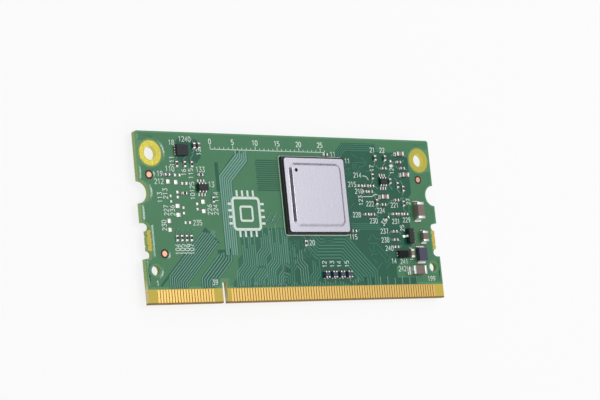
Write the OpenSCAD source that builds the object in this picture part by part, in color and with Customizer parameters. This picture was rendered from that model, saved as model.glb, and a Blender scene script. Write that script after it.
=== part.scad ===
// System on module: a small computer on an edge-connector board, with a lidded processor
// and its chip parts on the front, and two memory packages on the rear.
// It lies on its rear memory packages with its front face up. X runs along the contact edge,
// Y from the contact edge to the top edge, and the origin is under the board's centre.

/* [Circuit board] */
// Width of the board along its contact edge
board_w = 67.6; // [67:0.1:72]
// Height of the board from its contact edge to its top edge
board_h = 31; // [31:0.5:36]
// Thickness of the board with its solder mask
board_t = 1; // [0.8:0.1:1.6]
// Thickness of the solder mask on each face
mask_t = 0.03; // [0.02:0.005:0.04]
// Thickness of the copper that stands in the openings of the mask
copper_t = 0.05; // [0.045:0.005:0.07]
// Radius of the two top corners
corner_r = 0.5; // [0.2:0.1:1]

/* [Contact edge] */
// Spacing of the contacts
contact_pitch = 0.6; // [0.5:0.02:0.62]
// Width of one contact
contact_w = 0.45; // [0.3:0.01:0.47]
// Length of one contact
contact_l = 2.3; // [2:0.05:2.6]
// Gap between a contact and the edge of the board
contact_edge_gap = 0.25; // [0.1:0.05:0.4]
// Bare board above the contacts, up to the mask
bare_margin = 0.1; // [0.05:0.05:0.3]
// Contacts on each face to the left of the key notch
left_contacts = 20; // [10:1:20]
// Contacts on each face to the right of the key notch
right_contacts = 80; // [60:1:80]
// Distance from the left edge to the first contact
first_contact_in = 2.15; // [2:0.05:2.4]
// Distance between the two contacts beside the key notch
key_gap = 4.2; // [3.6:0.1:4.4]
// Distance from the key notch to the first contact on its right
key_to_contact = 1.5; // [1.2:0.1:1.8]
// Width of the key notch
key_w = 1; // [0.8:0.1:1.2]
// Height of the key notch
key_h = 4; // [3:0.1:4.5]

/* [Holes and notches] */
// Diameter of a mounting hole inside its plating
mounting_hole_d = 2.5; // [2:0.1:2.8]
// Diameter of the copper ring around a mounting hole
mounting_ring_d = 4.5; // [4:0.1:5]
// Distance from a side edge to its mounting hole
mounting_hole_in = 2.9; // [2.7:0.1:3.2]
// Distance from the top edge to the mounting holes
mounting_hole_down = 4; // [3:0.1:4.2]
// Gap between a mounting hole's ring and the mask
ring_mask_gap = 0.15; // [0.05:0.05:0.25]
// Diameter of a locating hole
locating_hole_d = 1.8; // [1.5:0.1:2]
// Distance from a side edge to its locating hole
locating_hole_in = 2; // [1.8:0.1:2.4]
// Height of the locating holes above the contact edge
locating_hole_up = 6; // [5.5:0.1:6.3]
// Radius of a half-round latch notch
latch_notch_r = 2; // [1.5:0.1:2.1]
// Height of the latch notches above the contact edge
latch_notch_up = 20; // [19.6:0.1:20.2]
// Diameter of a registration dot
fiducial_d = 1; // [0.8:0.1:1.2]
// Diameter of the mask opening around a registration dot
fiducial_opening_d = 1.7; // [1.4:0.1:2]

/* [Broken-off tabs] */
// Height of the recess that is left at a holding tab
tab_recess_h = 6.5; // [6:0.1:7]
// Height of the recess's middle above the contact edge
tab_recess_up = 11.3; // [11:0.1:11.6]
// Depth of the routed slots at both ends of the recess
tab_slot_depth = 1.5; // [1.2:0.1:1.7]
// Width of a routed slot
tab_slot_w = 1.5; // [1.2:0.1:1.8]
// Distance from the board's edge to the broken end of the tab
tab_break_in = 0.75; // [0.5:0.05:0.9]
// Diameter of the drilled bites along the broken end
tab_bite_d = 0.3; // [0.3:0.05:0.6]
// Number of bites
tab_bites = 2; // [2:1:4]

/* [Processor] */
// Width of the square processor package
processor_w = 14.6; // [13:0.1:14.8]
// Place of the processor to the right of the board's centre
processor_x = 4.45; // [4.2:0.05:4.6]
// Height of the processor's centre above the contact edge
processor_up = 19.65; // [19.5:0.05:19.75]
// Thickness of the processor's substrate
substrate_t = 0.5; // [0.3:0.05:0.7]
// Height of the solder balls under each package
ball_h = 0.25; // [0.2:0.01:0.3]
// Diameter of the solder balls
ball_d = 0.42; // [0.34:0.01:0.46]
// Spacing of the processor's solder balls
processor_ball_pitch = 0.85; // [0.65:0.05:0.85]
// Distance from the package's edge to the lid's edge
lid_inset = 0.35; // [0.1:0.05:0.5]
// Thickness of the lid's sheet
lid_sheet_t = 0.3; // [0.2:0.05:0.4]
// Height of the drawn step of the lid
lid_rise = 0.4; // [0.3:0.05:0.6]
// Width of the lid's flat flange
lid_flange_w = 0.85; // [0.6:0.05:1.2]
// Length over which the step rises
lid_step_run = 0.65; // [0.4:0.05:1]
// Radius of the lid's outer corners
lid_corner_r = 0.5; // [0.3:0.1:1]
// Radius of the top of the step at its corners
lid_top_r = 0.7; // [0.5:0.1:1.2]
// Thickness of the seal under the flange
lid_seal_t = 0.05; // [0.03:0.01:0.1]
// Width of the die
die_w = 8; // [6:0.1:9]
// Height of the die
die_h = 7; // [6:0.1:9]
// Thickness of the thermal paste between the die and the lid
paste_t = 0.05; // [0.03:0.01:0.08]
// Diameter of the mark at the first corner of a package
corner_mark_d = 0.7; // [0.4:0.05:0.9]
// Depth of that mark
corner_mark_depth = 0.05; // [0.02:0.01:0.08]
// Distance from the edge of the marked face to that mark
corner_mark_in = 0.85; // [0.6:0.05:1.2]

/* [Rear memory] */
// Height of both rear packages above the rear face
rear_package_h = 1.2; // [1:0.05:1.4]
// Width of the square memory package
memory_w = 12; // [10:0.1:12.4]
// Width of the flash package
flash_w = 11.5; // [10:0.1:12]
// Height of the flash package
flash_h = 13; // [11:0.1:14]
// Place of the flash package to the left of the board's centre
flash_left = 13.5; // [12.8:0.1:14]
// Height of the flash package's centre above the contact edge
flash_up = 18; // [17:0.1:19]
// Spacing of the solder balls of both rear packages
memory_ball_pitch = 0.8; // [0.65:0.05:0.8]
// Radius of the corners of both rear packages
memory_corner_r = 0.2; // [0.1:0.05:0.4]

/* [Chip parts] */
// Length of a small chip part
small_l = 1; // [0.9:0.02:1.1]
// Width of a small chip part
small_w = 0.5; // [0.4:0.02:0.6]
// Height of a small capacitor
small_cap_h = 0.5; // [0.4:0.02:0.6]
// Height of a resistor
resistor_h = 0.35; // [0.3:0.01:0.45]
// Length of a small part's end cap
small_band = 0.24; // [0.18:0.01:0.3]
// Length of a medium capacitor
medium_l = 1.6; // [1.5:0.05:1.75]
// Width of a medium capacitor
medium_w = 0.8; // [0.7:0.05:0.9]
// Height of a medium capacitor
medium_h = 0.8; // [0.6:0.05:0.9]
// Length of a medium capacitor's end cap
medium_band = 0.35; // [0.25:0.05:0.45]
// Length of the broad capacitor
broad_l = 2; // [1.9:0.05:2.15]
// Width of the broad capacitor
broad_w = 1.3; // [1.1:0.05:1.5]
// Height of the broad capacitor
broad_h = 1; // [0.7:0.05:1.25]
// Length of the broad capacitor's end cap
broad_band = 0.4; // [0.3:0.05:0.5]
// Length of a large capacitor
large_l = 3.2; // [3:0.05:3.35]
// Width of a large capacitor
large_w = 1.6; // [1.4:0.05:1.75]
// Height of a large capacitor
large_h = 1.5; // [1.1:0.05:1.6]
// Length of a large capacitor's end cap
large_band = 0.5; // [0.35:0.05:0.65]
// Thickness of the metal of an end cap
cap_plate = 0.03; // [0.02:0.005:0.05]
// Clear space between the ends of chip parts that stand in one row
row_gap = 0.1; // [0.05:0.05:0.3]
// Clear space between resistors that stand side by side
side_gap = 0.5; // [0.4:0.05:0.6]

/* [Chokes] */
// Width of one choke
choke_w = 1; // [0.8:0.05:1.2]
// Length of one choke
choke_l = 1.25; // [1.1:0.05:1.4]
// Height of one choke
choke_h = 0.8; // [0.5:0.05:0.9]
// Clear space between two chokes
choke_gap = 0.78; // [0.5:0.02:0.9]
// Number of chokes
chokes = 4; // [2:1:4]
// Width of a choke's terminal
choke_terminal_w = 0.3; // [0.2:0.02:0.36]
// Length of a choke's terminal over its top and bottom
choke_terminal_leg = 0.25; // [0.15:0.05:0.35]

/* [Small packages] */
// Length of the six-lead driver at the left
driver_l = 2; // [1.8:0.05:2.2]
// Width of the driver
driver_w = 1.3; // [1.1:0.05:1.4]
// Height of the driver
driver_h = 0.95; // [0.8:0.05:1.1]
// Spacing of the driver's leads
driver_pitch = 0.65; // [0.55:0.05:0.7]
// Length of the six-lead regulator at the right
regulator_l = 1.5; // [1.5:0.05:1.9]
// Width of the regulator
regulator_w = 1.3; // [1.1:0.05:1.4]
// Height of the regulator
regulator_h = 0.6; // [0.5:0.05:0.9]
// Spacing of the regulator's leads
regulator_pitch = 0.6; // [0.5:0.05:0.6]
// Width of the leads of both six-lead packages
driver_lead_w = 0.25; // [0.2:0.01:0.3]
// Length of the three-lead package
transistor_l = 2.9; // [2.7:0.05:3.05]
// Width of the three-lead package
transistor_w = 1.3; // [1.2:0.05:1.45]
// Height of the three-lead package
transistor_h = 1; // [0.9:0.05:1.1]
// Spacing of the two leads on one side of the three-lead package
transistor_pitch = 1.9; // [1.7:0.05:2]
// Width of the leads of the three-lead package
transistor_lead_w = 0.42; // [0.35:0.01:0.5]
// Distance that a lead stands out from its package
lead_reach = 0.55; // [0.5:0.05:0.65]
// Length of a lead's foot
lead_foot = 0.25; // [0.2:0.05:0.3]
// Thickness of a lead
lead_t = 0.13; // [0.1:0.01:0.15]
// Gap between a leaded package and the board
package_standoff = 0.05; // [0.03:0.01:0.1]
// Slope of a moulded package's sides
package_draft = 0.1; // [0.05:0.01:0.15]
// Length of the settings memory package
settings_l = 2.4; // [2.2:0.05:2.6]
// Width of the settings memory package
settings_w = 2; // [1.9:0.05:2.2]
// Height of the settings memory package
settings_h = 0.75; // [0.5:0.05:0.8]
// Length of the power switch package
switch_l = 2.4; // [2.2:0.05:2.6]
// Width of the power switch package
switch_w = 1.3; // [1.2:0.05:1.5]
// Height of the power switch package
switch_h = 0.6; // [0.5:0.05:0.75]
// Spacing of the terminals of both leadless packages
leadless_pitch = 0.5; // [0.42:0.02:0.5]
// Width of those terminals
leadless_terminal_w = 0.25; // [0.2:0.01:0.3]
// Length of those terminals under their package
leadless_terminal_l = 0.35; // [0.25:0.05:0.4]
// Height of those terminals up their package's side
leadless_terminal_h = 0.2; // [0.1:0.05:0.25]

/* [Inductor] */
// Width of the inductor
inductor_w = 2; // [1.8:0.05:2.1]
// Length of the inductor
inductor_l = 2.5; // [2.3:0.05:2.6]
// Height of the inductor
inductor_h = 1; // [0.8:0.05:1.2]
// Height of the inductor's terminals up its ends
inductor_terminal_h = 0.6; // [0.4:0.05:0.7]
// Length of the inductor's terminals under it
inductor_terminal_leg = 0.6; // [0.4:0.05:0.8]
// Thickness of the inductor's terminals
inductor_terminal_t = 0.06; // [0.04:0.01:0.08]

/* [Solder] */
// Size of the solder fillet at a small part
small_fillet = 0.16; // [0.1:0.01:0.18]
// Size of the solder fillet at a medium or broad part
medium_fillet = 0.44; // [0.3:0.02:0.5]
// Size of the solder fillet at a large part or the inductor
large_fillet = 0.56; // [0.4:0.02:0.6]
// Thickness of a solder fillet at its thin edges
fillet_lip = 0.02; // [0.015:0.005:0.03]
// Length of the solder in front of a lead's foot
toe_l = 0.4; // [0.2:0.05:0.5]
// Size of the solder fillet at a terminal of a choke or a leadless package
terminal_fillet = 0.18; // [0.1:0.01:0.2]
// Height of the solder on a pad that has no part
pad_solder_h = 0.14; // [0.1:0.01:0.2]
// Thickness of that solder at the pad's corners
pad_corner_t = 0.04; // [0.03:0.01:0.06]

/* [Hidden] */
$fn = 48;
// Overlap of a cutting shape past the face that it cuts
over = 1;

// Heights of the board's faces above the surface that the module lies on
rear_z = rear_package_h;
front_z = rear_z + board_t;

// Contact places along X, and the bare strip of board around the contacts
left_start = first_contact_in - board_w / 2;
right_start = left_start + (left_contacts - 1) * contact_pitch + key_gap;
key_x = right_start - key_to_contact;
contact_xs = concat(
    [for (i = [0 : left_contacts - 1]) left_start + i * contact_pitch],
    [for (i = [0 : right_contacts - 1]) right_start + i * contact_pitch]
);
bare_strip_h = contact_edge_gap + contact_l + bare_margin;

// Sizes of the chip parts as length, width and height
small_cap = [small_l, small_w, small_cap_h];
resistor = [small_l, small_w, resistor_h];
medium_cap = [medium_l, medium_w, medium_h];
broad_cap = [broad_l, broad_w, broad_h];
large_cap = [large_l, large_w, large_h];
inductor = [inductor_l, inductor_w, inductor_h];
settings_size = [settings_l, settings_w, settings_h];
switch_size = [switch_l, switch_w, switch_h];

// Terminals at each end of the leadless packages, and the part of a lead inside its package
settings_count = 4;
switch_count = 2;
lead_root = 2 * package_draft;
choke_terminal_offset = choke_w / 2 - choke_terminal_w / 2 - cap_plate;

// The lid's sizes, worked out from its package inwards
lid_w = processor_w - 2 * lid_inset;
step_base_w = lid_w - 2 * lid_flange_w;
step_base_r = lid_top_r + lid_step_run;
step_top_w = step_base_w - 2 * lid_step_run;
substrate_top = ball_h + substrate_t;
flange_bottom = substrate_top + lid_seal_t;
flange_top = flange_bottom + lid_sheet_t;
die_t = lid_seal_t + lid_rise - paste_t;
lid_slices = 5;
lid_slice_t = 0.02;

// Places on the board are [x, height above the contact edge, turn]
function from_left(d) = d - board_w / 2;
function from_right(d) = board_w / 2 - d;
row_pitch = small_l + 2 * small_fillet + row_gap;
side_pitch = small_w + side_gap;
choke_pitch = choke_w + choke_gap;

processor_place = [processor_x, processor_up, 0];
flash_place = [-flash_left, flash_up, 0];
settings_place = [from_left(9.35), 27.6, 0];
driver_place = [from_left(13.1), 20.85, 0];
regulator_place = [from_right(12.5), 22.6, 0];
transistor_place = [from_right(7.3), 12, 90];
switch_place = [from_right(9.5), 8.5, 0];
inductor_place = [from_right(4.9), 8.4, 90];
broad_cap_place = [from_right(3.8), 11.9, 90];
fiducial_places = [
    [from_left(2.3), 23.1, 0],
    [from_left(4.1), 8.95, 0],
    [from_right(3.5), 23.15, 0]
];
choke_places = [for (i = [0 : chokes - 1]) [5.4 + i * choke_pitch, 4.75, 90]];
large_cap_places = [
    [from_right(4.7), 16.9, 90],
    [from_right(6.5), 5.3, 0]
];
medium_cap_places = [
    [from_right(7.8), 28.1, 0],
    [from_right(7), 24, 0],
    [from_right(12.7), 19.6, 0],
    [from_right(7.3), 8.6, 90]
];
resistor_places = concat(
    [for (i = [0 : 3]) [from_left(6.9) + i * side_pitch, 11.7, 90]],
    [
        [from_left(8.2), 25.1, 90],
        [from_left(9.9), 25.1, 90],
        [from_left(11.4), 25.1, 90],
        [from_left(13.1), 23.2, 0],
        [from_left(9.3), 19.8, 0],
        [from_left(15.4), 18.7, 90],
        [1.4, 10.7, 90],
        [13.1, 13, 0],
        [8, 27.6, 0],
        [from_right(8.9), 22, 90],
        [from_right(7.6), 21.3, 90],
        [from_right(14.9), 23.6, 90],
        [from_right(7.9), 18.4, 90]
    ]
);
small_cap_places = concat(
    [for (i = [0 : 2]) [from_right(18.3) + i * row_pitch, 21.7, 0]],
    [for (i = [0 : 1]) [from_right(17.4) + i * row_pitch, 20.6, 0]],
    [for (i = [0 : 1]) [from_right(17.4) + i * row_pitch, 16.2, 0]],
    [for (i = [0 : 2]) [from_right(10.6) + i * row_pitch, 16.3, 0]],
    [
        [from_left(12.2), 28.5, 90],
        [from_left(13.2), 28.5, 90],
        [from_left(5.9), 23.1, 0],
        [from_right(13.9), 27.2, 90],
        [from_right(11.5), 27.2, 90],
        [from_right(8.2), 26.5, 0],
        [from_right(7.4), 25.3, 0],
        [from_right(12), 25.2, 0],
        [from_right(10.8), 22.7, 90],
        [from_right(14.6), 18.6, 90],
        [from_right(13), 18.1, 0],
        [from_right(9.7), 19, 0],
        [from_right(12.5), 15.4, 40],
        [from_right(10.9), 12.9, 0],
        [from_right(10.9), 11.3, 0],
        [from_right(10.9), 9.9, 0]
    ]
);

// Pads without a part, as [x, height above the contact edge, width, height]
bare_pads = [
    [from_left(7.7), 23.1, 0.5, 0.5],
    [from_left(8.7), 23.1, 0.45, 0.5],
    [from_left(6.1), 21.9, 0.75, 0.8],
    [from_left(7.75), 21.8, 0.75, 0.8],
    [from_left(9.1), 21.6, 0.45, 0.5],
    [from_left(10), 21.6, 0.5, 0.55],
    [from_left(7.9), 20, 0.55, 0.5],
    [from_left(7.9), 19.1, 0.55, 0.45],
    [from_left(6.4), 19.3, 0.45, 0.45],
    [from_left(6.4), 18.3, 0.45, 0.45],
    [from_left(7.7), 17.5, 0.9, 0.75],
    [from_left(7.7), 15.9, 0.9, 0.75],
    [from_left(8.9), 17.2, 0.5, 0.45],
    [from_left(8.9), 16.2, 0.5, 0.45],
    [from_left(5.65), 14.8, 0.7, 0.8],
    [from_left(5.65), 13.2, 0.75, 0.75],
    [from_left(9.05), 14.5, 0.45, 0.5],
    [from_left(10), 14.5, 0.45, 0.5],
    [from_left(11.9), 17.9, 0.5, 0.5],
    [from_left(11.9), 16.95, 0.5, 0.45],
    [from_left(13.2), 18.3, 0.8, 0.8],
    [from_left(13.2), 16.6, 0.8, 0.75],
    [from_right(9.9), 26.7, 0.5, 0.45],
    [from_right(9.9), 25.7, 0.5, 0.5]
];

// Rear capacitors: columns beside the memory package and a row under the flash package
rear_column_gap = 1.4;
rear_column_pitch = 1.5;
rear_column_count = 6;
rear_row_count = 6;
rear_row_drop = 1.6;
rear_cap_places = concat(
    [
        for (side = [-1, 1])
        for (i = [0 : rear_column_count - 1])
        [
            processor_x + side * (memory_w / 2 + rear_column_gap),
            processor_up + (i - (rear_column_count - 1) / 2) * rear_column_pitch,
            0
        ]
    ],
    [
        for (i = [0 : rear_row_count - 1])
        [
            -flash_left + (i - (rear_row_count - 1) / 2) * row_pitch,
            flash_up - flash_h / 2 - rear_row_drop,
            0
        ]
    ]
);

module on_front(place)
    translate([place[0], place[1] - board_h / 2, front_z])
        rotate(place[2])
            children();

module on_rear(place)
    translate([place[0], place[1] - board_h / 2, rear_z])
        rotate([180, 0, place[2]])
            children();

// A plate with round corners, centred, standing on z = 0
module rounded_plate(w, h, r, t)
    linear_extrude(t)
        union() {
            square([w - 2 * r, h], center = true);
            square([w, h - 2 * r], center = true);
            for (x = [-1, 1], y = [-1, 1])
                translate([x * (w / 2 - r), y * (h / 2 - r)])
                    circle(r);
        }

// A block centred in X and Y, standing on z = 0
module block(size)
    translate([0, 0, size[2] / 2])
        cube(size, center = true);

// Ceramic core of a chip part, inside its end caps
module chip_core(size)
    translate([0, 0, cap_plate])
        block(size - 2 * cap_plate * [1, 1, 1]);

// The two metal cups on the ends of a chip part
module chip_caps(size, band)
    for (side = [-1, 1])
        difference() {
            translate([side * (size[0] - band) / 2, 0, 0])
                block([band, size[1], size[2]]);
            chip_core(size);
        }

// A hollow solder fillet on the board, against an upright face at x = 0
module fillet(w, reach)
    rotate([90, 0, 0])
        linear_extrude(w, center = true)
            difference() {
                square(reach);
                translate((reach + fillet_lip) * [1, 1])
                    circle(reach);
            }

// The fillets at both ends of a chip part
module end_fillets(size, reach)
    for (side = [0, 180])
        rotate(side)
            translate([size[0] / 2, 0, 0])
                fillet(size[1], reach);

// A flattened solder ball between a package and the board
module solder_ball()
    intersection() {
        translate([0, 0, ball_h / 2])
            sphere(d = ball_d);
        block([2 * ball_d, 2 * ball_d, ball_h]);
    }

// A square grid of balls: some outer rings, and a smaller grid in the middle
module ball_grid(count, rings, core, pitch)
    for (i = [0 : count - 1], j = [0 : count - 1]) {
        edge = min(i, j, count - 1 - i, count - 1 - j);
        middle = (count - 1) / 2;
        if (edge < rings || max(abs(i - middle), abs(j - middle)) < core / 2)
            translate([(i - middle) * pitch, (j - middle) * pitch, 0])
                solder_ball();
    }

// Moulded body of a leaded package, with sloped long sides
module moulded_body(l, w, h) {
    middle = (h + package_standoff) / 2;
    low = package_standoff;
    slope = w / 2 - package_draft;
    rotate([90, 0, 90])
        linear_extrude(l, center = true)
            polygon([
                [-slope, low], [slope, low], [w / 2, middle],
                [slope, h], [-slope, h], [-w / 2, middle]
            ]);
}

// One bent lead along +X, from its root inside a package's side to its foot on the board
module bent_lead(package_h, w) {
    exit_z = (package_h + package_standoff) / 2;
    knee = (lead_reach - lead_foot) / 2;
    rotate([90, 0, 0])
        linear_extrude(w, center = true)
            polygon([
                [-lead_root, exit_z], [knee, exit_z], [lead_reach - lead_foot, 0], [lead_reach, 0],
                [lead_reach, lead_t], [lead_reach - lead_foot + lead_t / 2, lead_t],
                [knee + lead_t / 2, exit_z + lead_t], [-lead_root, exit_z + lead_t]
            ]);
}

// The leads on the +Y side of a package
module side_leads(offsets, package_w, package_h, w)
    for (x = offsets)
        translate([x, package_w / 2, 0])
            rotate(90)
                bent_lead(package_h, w);

// Sloped solder in front of the feet of the leads on the +Y side of a package
module toe_solder(offsets, package_w, w)
    for (x = offsets)
        translate([x, package_w / 2 + lead_reach, 0])
            rotate([90, 0, 90])
                linear_extrude(w, center = true)
                    polygon([[0, 0], [toe_l, 0], [toe_l, fillet_lip], [0, lead_t]]);

// Terminals along both ends of a leadless package
module leadless_terminals(size, count)
    for (side = [0, 180], i = [0 : count - 1])
        rotate(side)
            translate([
                (size[0] - leadless_terminal_l) / 2 + cap_plate,
                (i - (count - 1) / 2) * leadless_pitch,
                0
            ])
                block([leadless_terminal_l, leadless_terminal_w, leadless_terminal_h]);

// The fillets at those terminals
module leadless_fillets(size, count)
    for (side = [0, 180], i = [0 : count - 1])
        rotate(side)
            translate([size[0] / 2 + cap_plate, (i - (count - 1) / 2) * leadless_pitch, 0])
                fillet(leadless_terminal_w, terminal_fillet);

// A C-shaped terminal wrapped over the end of a choke, its end face at x = 0
module wrapped_terminal(w, leg, h)
    rotate([90, 0, 0])
        linear_extrude(w, center = true)
            difference() {
                translate([-leg, 0])
                    square([leg, h]);
                translate([-leg - over, cap_plate])
                    square([leg + over - cap_plate, h - 2 * cap_plate]);
            }

// A thin slice of the lid at a share of the way in along its drawn step
module lid_slice(share)
    translate([0, 0, lid_rise * (1 - cos(180 * share)) / 2])
        for (x = [-1, 1], y = [-1, 1]) {
            r = step_base_r - lid_step_run * share;
            reach = step_base_w / 2 - lid_step_run * share - r;
            translate([x * reach, y * reach, -lid_slice_t])
                cylinder(r = r, h = lid_slice_t, $fn = 32);
        }

// The drawn step: slices that follow a smooth S from the flange to the flat top
module lid_step()
    for (i = [0 : lid_slices - 1])
        hull() {
            lid_slice(i / lid_slices);
            lid_slice((i + 1) / lid_slices);
        }

// The routed recess at one side edge, with the broken end of the holding tab in it
module tab_recess() {
    slot_middle = (tab_recess_h - tab_slot_w) / 2;
    bite_pitch = (tab_recess_h - 2 * tab_slot_w) / tab_bites;
    translate([-tab_break_in, -tab_recess_h / 2])
        square([tab_break_in + over, tab_recess_h]);
    for (side = [-1, 1])
        translate([0, side * slot_middle]) {
            translate([tab_slot_w / 2 - tab_slot_depth, -tab_slot_w / 2])
                square([tab_slot_depth - tab_slot_w / 2 + over, tab_slot_w]);
            translate([tab_slot_w / 2 - tab_slot_depth, 0])
                circle(d = tab_slot_w);
        }
    for (i = [0 : tab_bites - 1])
        translate([-tab_break_in, (i - (tab_bites - 1) / 2) * bite_pitch])
            circle(d = tab_bite_d);
}

// The key notch in the contact edge, with a round end
module key_notch() {
    translate([-key_w / 2, -over])
        square([key_w, key_h - key_w / 2 + over]);
    translate([0, key_h - key_w / 2])
        circle(d = key_w);
}

// The board's outline, with its origin at the middle of the contact edge
module board_outline()
    difference() {
        union() {
            translate([-board_w / 2, 0])
                square([board_w, board_h - corner_r]);
            translate([corner_r - board_w / 2, 0])
                square([board_w - 2 * corner_r, board_h]);
            for (side = [-1, 1])
                translate([side * (board_w / 2 - corner_r), board_h - corner_r])
                    circle(corner_r);
        }
        translate([key_x, 0])
            key_notch();
        for (side = [0, 1])
            mirror([side, 0])
                translate([board_w / 2, 0]) {
                    translate([0, latch_notch_up])
                        circle(latch_notch_r);
                    translate([0, tab_recess_up])
                        tab_recess();
                    translate([-locating_hole_in, locating_hole_up])
                        circle(d = locating_hole_d);
                    translate([-mounting_hole_in, board_h - mounting_hole_down])
                        circle(d = mounting_hole_d + 2 * copper_t);
                }
    }

// Openings of the mask on one face, where the bare board lies a little lower
module mask_openings() {
    translate([0, bare_strip_h / 2 - over / 2, 0])
        block([board_w + 2 * over, bare_strip_h + over, mask_t + over]);
    for (side = [-1, 1])
        translate([side * (board_w / 2 - mounting_hole_in), board_h - mounting_hole_down, 0])
            cylinder(d = mounting_ring_d + 2 * ring_mask_gap, h = mask_t + over);
}

module circuit_board()
    color("seagreen")
        difference() {
            translate([0, -board_h / 2, rear_z])
                linear_extrude(board_t)
                    board_outline();
            translate([0, -board_h / 2, front_z - mask_t])
                mask_openings();
            translate([0, -board_h / 2, rear_z + mask_t])
                mirror([0, 0, 1])
                    mask_openings();
            for (place = fiducial_places)
                on_front(place)
                    translate([0, 0, -mask_t])
                        cylinder(d = fiducial_opening_d, h = mask_t + over);
        }

// One face's contacts, lying on the bare board and standing a little out of the mask
module contacts()
    for (x = contact_xs)
        translate([x, contact_edge_gap + contact_l / 2 - board_h / 2, -mask_t])
            block([contact_w, contact_l, copper_t]);

module front_contacts()
    color("gold")
        translate([0, 0, front_z])
            contacts();

module rear_contacts()
    color("gold")
        translate([0, 0, rear_z])
            mirror([0, 0, 1])
                contacts();

// Copper barrels with a ring on each face, turned about the hole's axis
module mounting_hole_platings() {
    hole_r = mounting_hole_d / 2;
    ring_r = mounting_ring_d / 2;
    low = mask_t - copper_t;
    high = board_t - low;
    color("goldenrod")
        for (side = [-1, 1])
            translate([
                side * (board_w / 2 - mounting_hole_in),
                board_h / 2 - mounting_hole_down,
                rear_z
            ])
                rotate_extrude()
                    polygon([
                        [hole_r, low], [ring_r, low], [ring_r, low + copper_t],
                        [hole_r + copper_t, low + copper_t], [hole_r + copper_t, high - copper_t],
                        [ring_r, high - copper_t], [ring_r, high], [hole_r, high]
                    ]);
}

module fiducial_dots()
    color("darkgoldenrod")
        for (place = fiducial_places)
            on_front(place)
                translate([0, 0, -mask_t])
                    cylinder(d = fiducial_d, h = copper_t);

module processor_substrate()
    color("darkslategray")
        on_front(processor_place)
            translate([0, 0, ball_h])
                block([processor_w, processor_w, substrate_t]);

module processor_balls()
    color("silver")
        on_front(processor_place)
            ball_grid(count = 16, rings = 3, core = 6, pitch = processor_ball_pitch);

module processor_die()
    color("dimgray")
        on_front(processor_place)
            translate([0, 0, substrate_top])
                block([die_w, die_h, die_t]);

module thermal_paste()
    color("gray")
        on_front(processor_place)
            translate([0, 0, substrate_top + die_t])
                block([die_w, die_h, paste_t]);

// A frame of sealant under the lid's flange
module lid_seal()
    color("black")
        on_front(processor_place)
            translate([0, 0, substrate_top])
                difference() {
                    rounded_plate(lid_w, lid_w, lid_corner_r, lid_seal_t);
                    translate([0, 0, -over])
                        rounded_plate(step_base_w, step_base_w, step_base_r, lid_seal_t + 2 * over);
                }

// A stamped sheet: a flat flange and a drawn step, hollow underneath
module processor_lid()
    color("lavender")
        on_front(processor_place)
            difference() {
                union() {
                    translate([0, 0, flange_bottom])
                        rounded_plate(lid_w, lid_w, lid_corner_r, lid_sheet_t);
                    translate([0, 0, flange_top])
                        lid_step();
                }
                translate([0, 0, flange_bottom])
                    hull() {
                        lid_slice(0);
                        lid_slice(1);
                    }
                translate([
                    corner_mark_in - step_top_w / 2,
                    step_top_w / 2 - corner_mark_in,
                    flange_top + lid_rise - corner_mark_depth
                ])
                    cylinder(d = corner_mark_d, h = over);
            }

// Moulded package on the rear, with a round mark at one corner of its outer face
module rear_package(w, h)
    difference() {
        translate([0, 0, ball_h])
            rounded_plate(w, h, memory_corner_r, rear_package_h - ball_h);
        translate([
            corner_mark_in - w / 2,
            h / 2 - corner_mark_in,
            rear_package_h - corner_mark_depth
        ])
            cylinder(d = corner_mark_d, h = over);
    }

module memory_body()
    color("dimgray")
        on_rear(processor_place)
            rear_package(memory_w, memory_w);

module memory_balls()
    color("silver")
        on_rear(processor_place)
            ball_grid(count = 12, rings = 2, core = 0, pitch = memory_ball_pitch);

module flash_body()
    color("dimgray")
        on_rear(flash_place)
            rear_package(flash_w, flash_h);

module flash_balls()
    color("silver")
        on_rear(flash_place)
            ball_grid(count = 12, rings = 2, core = 4, pitch = memory_ball_pitch);

module settings_memory_body()
    color("dimgray")
        on_front(settings_place)
            difference() {
                block(settings_size);
                leadless_terminals(settings_size, settings_count);
            }

module settings_memory_terminals()
    color("silver")
        on_front(settings_place)
            leadless_terminals(settings_size, settings_count);

module power_switch_body()
    color("black")
        on_front(switch_place)
            difference() {
                block(switch_size);
                leadless_terminals(switch_size, switch_count);
            }

module power_switch_terminals()
    color("silver")
        on_front(switch_place)
            leadless_terminals(switch_size, switch_count);

// Six leads, three on each long side of a package
module six_leads(w, h, pitch)
    for (side = [0, 180])
        rotate(side)
            side_leads(pitch * [-1, 0, 1], w, h, driver_lead_w);

module driver_body()
    color("dimgray")
        on_front(driver_place)
            difference() {
                moulded_body(driver_l, driver_w, driver_h);
                six_leads(driver_w, driver_h, driver_pitch);
            }

module driver_leads()
    color("silver")
        on_front(driver_place)
            six_leads(driver_w, driver_h, driver_pitch);

module regulator_body()
    color("dimgray")
        on_front(regulator_place)
            difference() {
                moulded_body(regulator_l, regulator_w, regulator_h);
                six_leads(regulator_w, regulator_h, regulator_pitch);
            }

module regulator_leads()
    color("silver")
        on_front(regulator_place)
            six_leads(regulator_w, regulator_h, regulator_pitch);

// One lead on the side that faces the processor, and two on the other
module transistor_lead_set() {
    side_leads([0], transistor_w, transistor_h, transistor_lead_w);
    rotate(180)
        side_leads(transistor_pitch / 2 * [-1, 1], transistor_w, transistor_h, transistor_lead_w);
}

module transistor_body()
    color("black")
        on_front(transistor_place)
            difference() {
                moulded_body(transistor_l, transistor_w, transistor_h);
                transistor_lead_set();
            }

module transistor_leads()
    color("silver")
        on_front(transistor_place)
            transistor_lead_set();

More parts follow.
